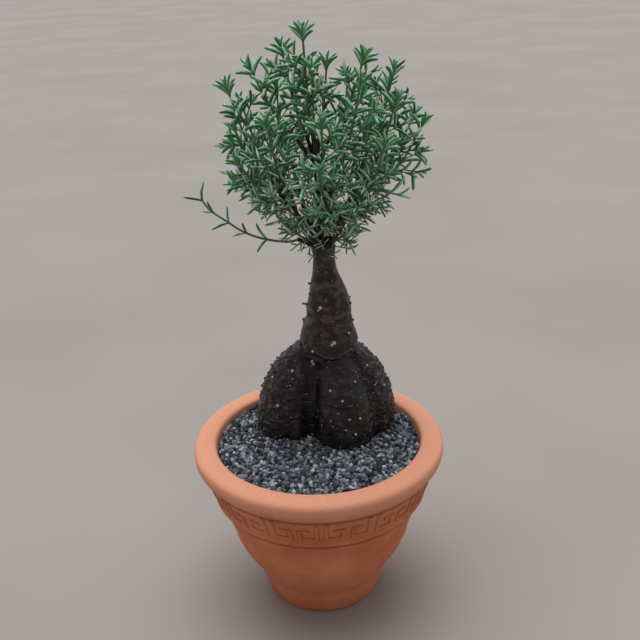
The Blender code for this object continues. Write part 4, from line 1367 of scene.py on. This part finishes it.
# Leaves get lighter with height: the height of a middling one, and how far up the lightest would be
TINT_MIDDLE = 330.0
TINT_REACH = 400.0
# The solids' stems are square, with these radii at the corners. A round one is this much slimmer.
ROUND_TWIG = 0.74
# A blunt tip ends a little before the solid's point does.
BLUNT = 0.965
# Leaves low in the crown get less light and stay slim: breadth as a share, at these heights.
SLIM = ((285.0, 0.73), (340.0, 1.0))
# A twig is greener towards its end: how green its foot is, and how much more its end
GREEN_FOOT = 0.25
GREEN_MORE = 0.65
# What a twig's points say of a leaf
NO_LEAF = (False, (0, 0, 1), (1, 0, 0), 0.0, 0.0)


def spray_seed(spray, draw):
    """Edges for the twigs and loose points for the leaves, with the numbers that the tree reads."""
    spots, edges, rows = [], [], []
    for line, radii in spray.twigs:
        for step, (point, radius) in enumerate(zip(line, radii)):
            if step:
                edges.append((len(spots) - 1, len(spots)))
            spots.append(point * MM)
            green = GREEN_FOOT + GREEN_MORE * step / (len(line) - 1)
            rows.append((*NO_LEAF, radius * ROUND_TWIG * MM, 0.0, 0.0, green))
    for root, tip, out, young in spray.leaves:
        tint = 0.5 + draw.gauss(0.0, TINT_SPREAD) + (root.z - TINT_MIDDLE) / TINT_REACH
        length = (tip - root).length * BLUNT * MM
        breadth = length * float(np.interp(root.z, *zip(*SLIM)))
        spots.append(root * MM)
        rows.append((True, (tip - root).normalized(), -out, length, breadth, 0.0,
                     min(max(tint, 0.0), 1.0), young, 0.0))
    mesh = bpy.data.meshes.new("spray_seed")
    mesh.from_pydata(spots, edges, [])
    for (name, kind), values in zip(SEED_NUMBERS.items(), zip(*rows)):
        store(mesh, name, values, kind)
    return mesh


tint_draw = random.Random(DRESS_SEED)
total = 0
for spray in sprays:
    node = f"spray_{spray.number + 1:02d}"
    piece = grown("leafy_" + node, spray_seed(spray, tint_draw), grow_spray,
                  Leaf=leaf_green, Twig=twig_brown)
    total += stand_in(piece, node)
print("sprays:", len(sprays), "triangles:", total)

# %% [markdown]
# The limbs leave the trunk's head in all directions, thick and knobby at first, and fork into the
# stubs that carry the stems. A few dead side shoots stand on the trunk as short spurs. Their broken
# ends are pale. All of it is one more tree: lines with a width at each point, a ring swept along
# them, and a noise that pushes the bark in and out.

# %% Tree that grows the wood
WOOD_GIRTH = (3.3, 2.1, 1.5, 1.0)
STUB_GIRTH = (1.6, 1.2)
STUB_REST = 0.8
SPURS = (
    # angle and height on the trunk, length, rise, radius, how pale the end is
    (-172, 221.0, 3.6, 0.3, 0.8, 0.5), (-25, 203.5, 3.0, 0.1, 1.0, 0.3),
    (-160, 237.0, 1.8, 0.4, 0.7, 0.2), (165, 207.0, 1.6, 0.2, 0.8, 0.2),
    (20, 243.0, 2.0, 0.6, 0.6, 0.3), (120, 226.0, 3.0, 0.5, 0.8, 0.5),
    (75, 213.0, 2.4, 0.2, 0.8, 0.4), (60, 238.0, 2.2, 0.7, 0.6, 0.4),
)
SCARS = (
    # angle and height of the pale stubs of cut shoots, radius
    (-101, 224.0, 1.2), (-106, 222.0, 0.7), (-75, 199.0, 1.1), (-80, 198.0, 0.7),
    (-118, 192.0, 1.2), (-123, 183.0, 1.0), (-120, 181.0, 0.7), (-52, 170.0, 0.8),
    (-87, 166.0, 0.7), (-170, 167.0, 0.8), (-150, 175.0, 0.9), (-58, 146.0, 1.0),
    (-65, 136.0, 0.8), (-74, 160.0, 0.7), (-40, 203.0, 0.8), (-152, 150.0, 0.8),
    (-22, 176.0, 0.9), (-12, 158.0, 0.8), (40, 206.0, 1.0), (95, 196.0, 0.9), (62, 172.0, 0.9),
    (118, 168.0, 0.8), (150, 186.0, 0.9), (84, 148.0, 0.8), (25, 160.0, 0.8),
)
SCAR_LENGTH = 0.9


def knotty(tree, given):
    wood = tubes(tree, given["Geometry"], given["Step"], 10)
    per_size = add(tree, "ShaderNodeMath", {0: 1.0, 1: given["Knot size"]}, operation="DIVIDE")
    knots = add(tree, "ShaderNodeTexNoise", {"Vector": add(tree, "GeometryNodeInputPosition"),
                                             "Scale": per_size})
    level = add(tree, "ShaderNodeMath", {0: knots, 1: 0.45}, operation="SUBTRACT")
    marked = add(tree, "GeometryNodeStoreNamedAttribute",
                 {0: wood, "Name": "raised", "Value": level})
    depth = add(tree, "ShaderNodeMath", {0: level, 1: given["Knot depth"]}, operation="MULTIPLY")
    push = add(tree, "ShaderNodeVectorMath", {0: add(tree, "GeometryNodeInputNormal"), 3: depth},
               operation="SCALE")
    rough = add(tree, "GeometryNodeSetPosition", {0: marked, "Offset": push})
    return ended(tree, rough, given["Bark"])


grow_wood = new_tree("wood", knotty, Step=0.002, Knot_size=0.0045, Knot_depth=0.0016, Bark=None)

# %% Make the limbs
SPUR_DEPTH = 1.0
SPUR_TAPER = (1.3, 0.8)
FLAKY = 0.7


def wood_seed():
    lines = []
    for line, radii in wood:
        if len(line) > 2:
            lines.append((line, WOOD_GIRTH, 0.0))
        else:
            way = (line[1] - line[0]).normalized()
            lines.append(([line[0], line[1] + way * STUB_REST], STUB_GIRTH, 0.0))
    scars = [(angle, height, SCAR_LENGTH, 0.1, radius, 1.0) for angle, height, radius in SCARS]
    for angle, height, length, rise, radius, pale in (*SPURS, *scars):
        turn = math.radians(angle)
        reach = float(caudex_surface(np.array([turn]), np.array([height]))[0])
        foot = Vector((CAUDEX_AXIS[0] + (reach - SPUR_DEPTH) * math.cos(turn),
                       CAUDEX_AXIS[1] + (reach - SPUR_DEPTH) * math.sin(turn), height))
        way = Vector((math.cos(turn), math.sin(turn), rise)).normalized()
        lines.append(([foot, foot + way * (length + SPUR_DEPTH)],
                      [radius * share for share in SPUR_TAPER], pale))
    spots, edges, girths, pales = [], [], [], []
    for line, girth, pale in lines:
        for step, (point, radius) in enumerate(zip(line, girth)):
            if step:
                edges.append((len(spots) - 1, len(spots)))
            spots.append(point * MM)
            girths.append(radius * MM)
            pales.append(pale * (step > 0))
    mesh = bpy.data.meshes.new("wood_seed")
    mesh.from_pydata(spots, edges, [])
    store(mesh, "girth", girths)
    store(mesh, "pale", pales)
    store(mesh, "flaky", np.full(len(spots), FLAKY))
    return mesh


limbs = grown("limbs", wood_seed(), grow_wood, Bark=caudex_bark)
print("limbs:", stand_in(limbs, "caudex"), "triangles")

# %% [markdown]
# The floor is a plain pale sheet that runs out past the top of the picture. One large soft light
# hangs over the plant, a little behind it, as in the photograph, where the pot's rim is bright and
# its side lies in shade. The world is a pale room that lights the plant from all sides, least of
# all from the front.

# %% Floor, light and world
FLOOR_HALF = 12.0
FLOOR_TONES = ("#97928F", "#9E9996")
ROOM_FRONT = "#A39F9C"
ROOM_BACK = "#D2CECB"
ROOM_STRENGTH = 0.95
LIGHT_FROM = (-0.05, 0.15, 1.0)
LIGHT_WIDTH = math.radians(50.0)
LIGHT_POWER = 2.2


def floor_sheet(tree, place):
    cloud = add(tree, "ShaderNodeTexNoise", {"Vector": place, "Scale": 3.0})
    tone = add(tree, "ShaderNodeValToRGB", {0: cloud}, stops=zip((0.35, 0.65), FLOOR_TONES))
    return {"Base Color": tone, "Roughness": 0.85}


corners = [(x * FLOOR_HALF, y * FLOOR_HALF, 0.0) for x, y in ((-1, -1), (1, -1), (1, 1), (-1, 1))]
sheet = bpy.data.meshes.new("floor")
sheet.from_pydata(corners, [], [(0, 1, 2, 3)])
sheet.materials.append(new_material("floor_sheet", floor_sheet))
floor = new_object("floor", sheet)

world = bpy.data.worlds.new("soft_room")
world.use_nodes = True
room = world.node_tree
way = add(room, "ShaderNodeTexCoord", out="Generated")
behind = add(room, "ShaderNodeMapRange", {0: add(room, "ShaderNodeSeparateXYZ", {0: way}, out="Y"),
                                          1: -0.9, 2: 0.6}, interpolation_type="SMOOTHSTEP")
walls = add(room, "ShaderNodeMix", {0: behind, 6: ROOM_FRONT, 7: ROOM_BACK}, 2, data_type="RGBA")
feed(room, room.nodes["Background"], {"Color": walls, "Strength": ROOM_STRENGTH})
bpy.context.scene.world = world

light = bpy.data.objects.new("soft_light", bpy.data.lights.new("soft_light", "SUN"))
light.data.angle = LIGHT_WIDTH
light.data.energy = LIGHT_POWER
light.matrix_world = Vector(LIGHT_FROM).to_track_quat("Z", "Y").to_matrix().to_4x4()
bpy.context.scene.collection.objects.link(light)
bpy.context.scene.view_settings.view_transform = "Standard"
print("floor:", 2 * FLOOR_HALF, "m wide, light:", LIGHT_POWER, "W to the square metre")
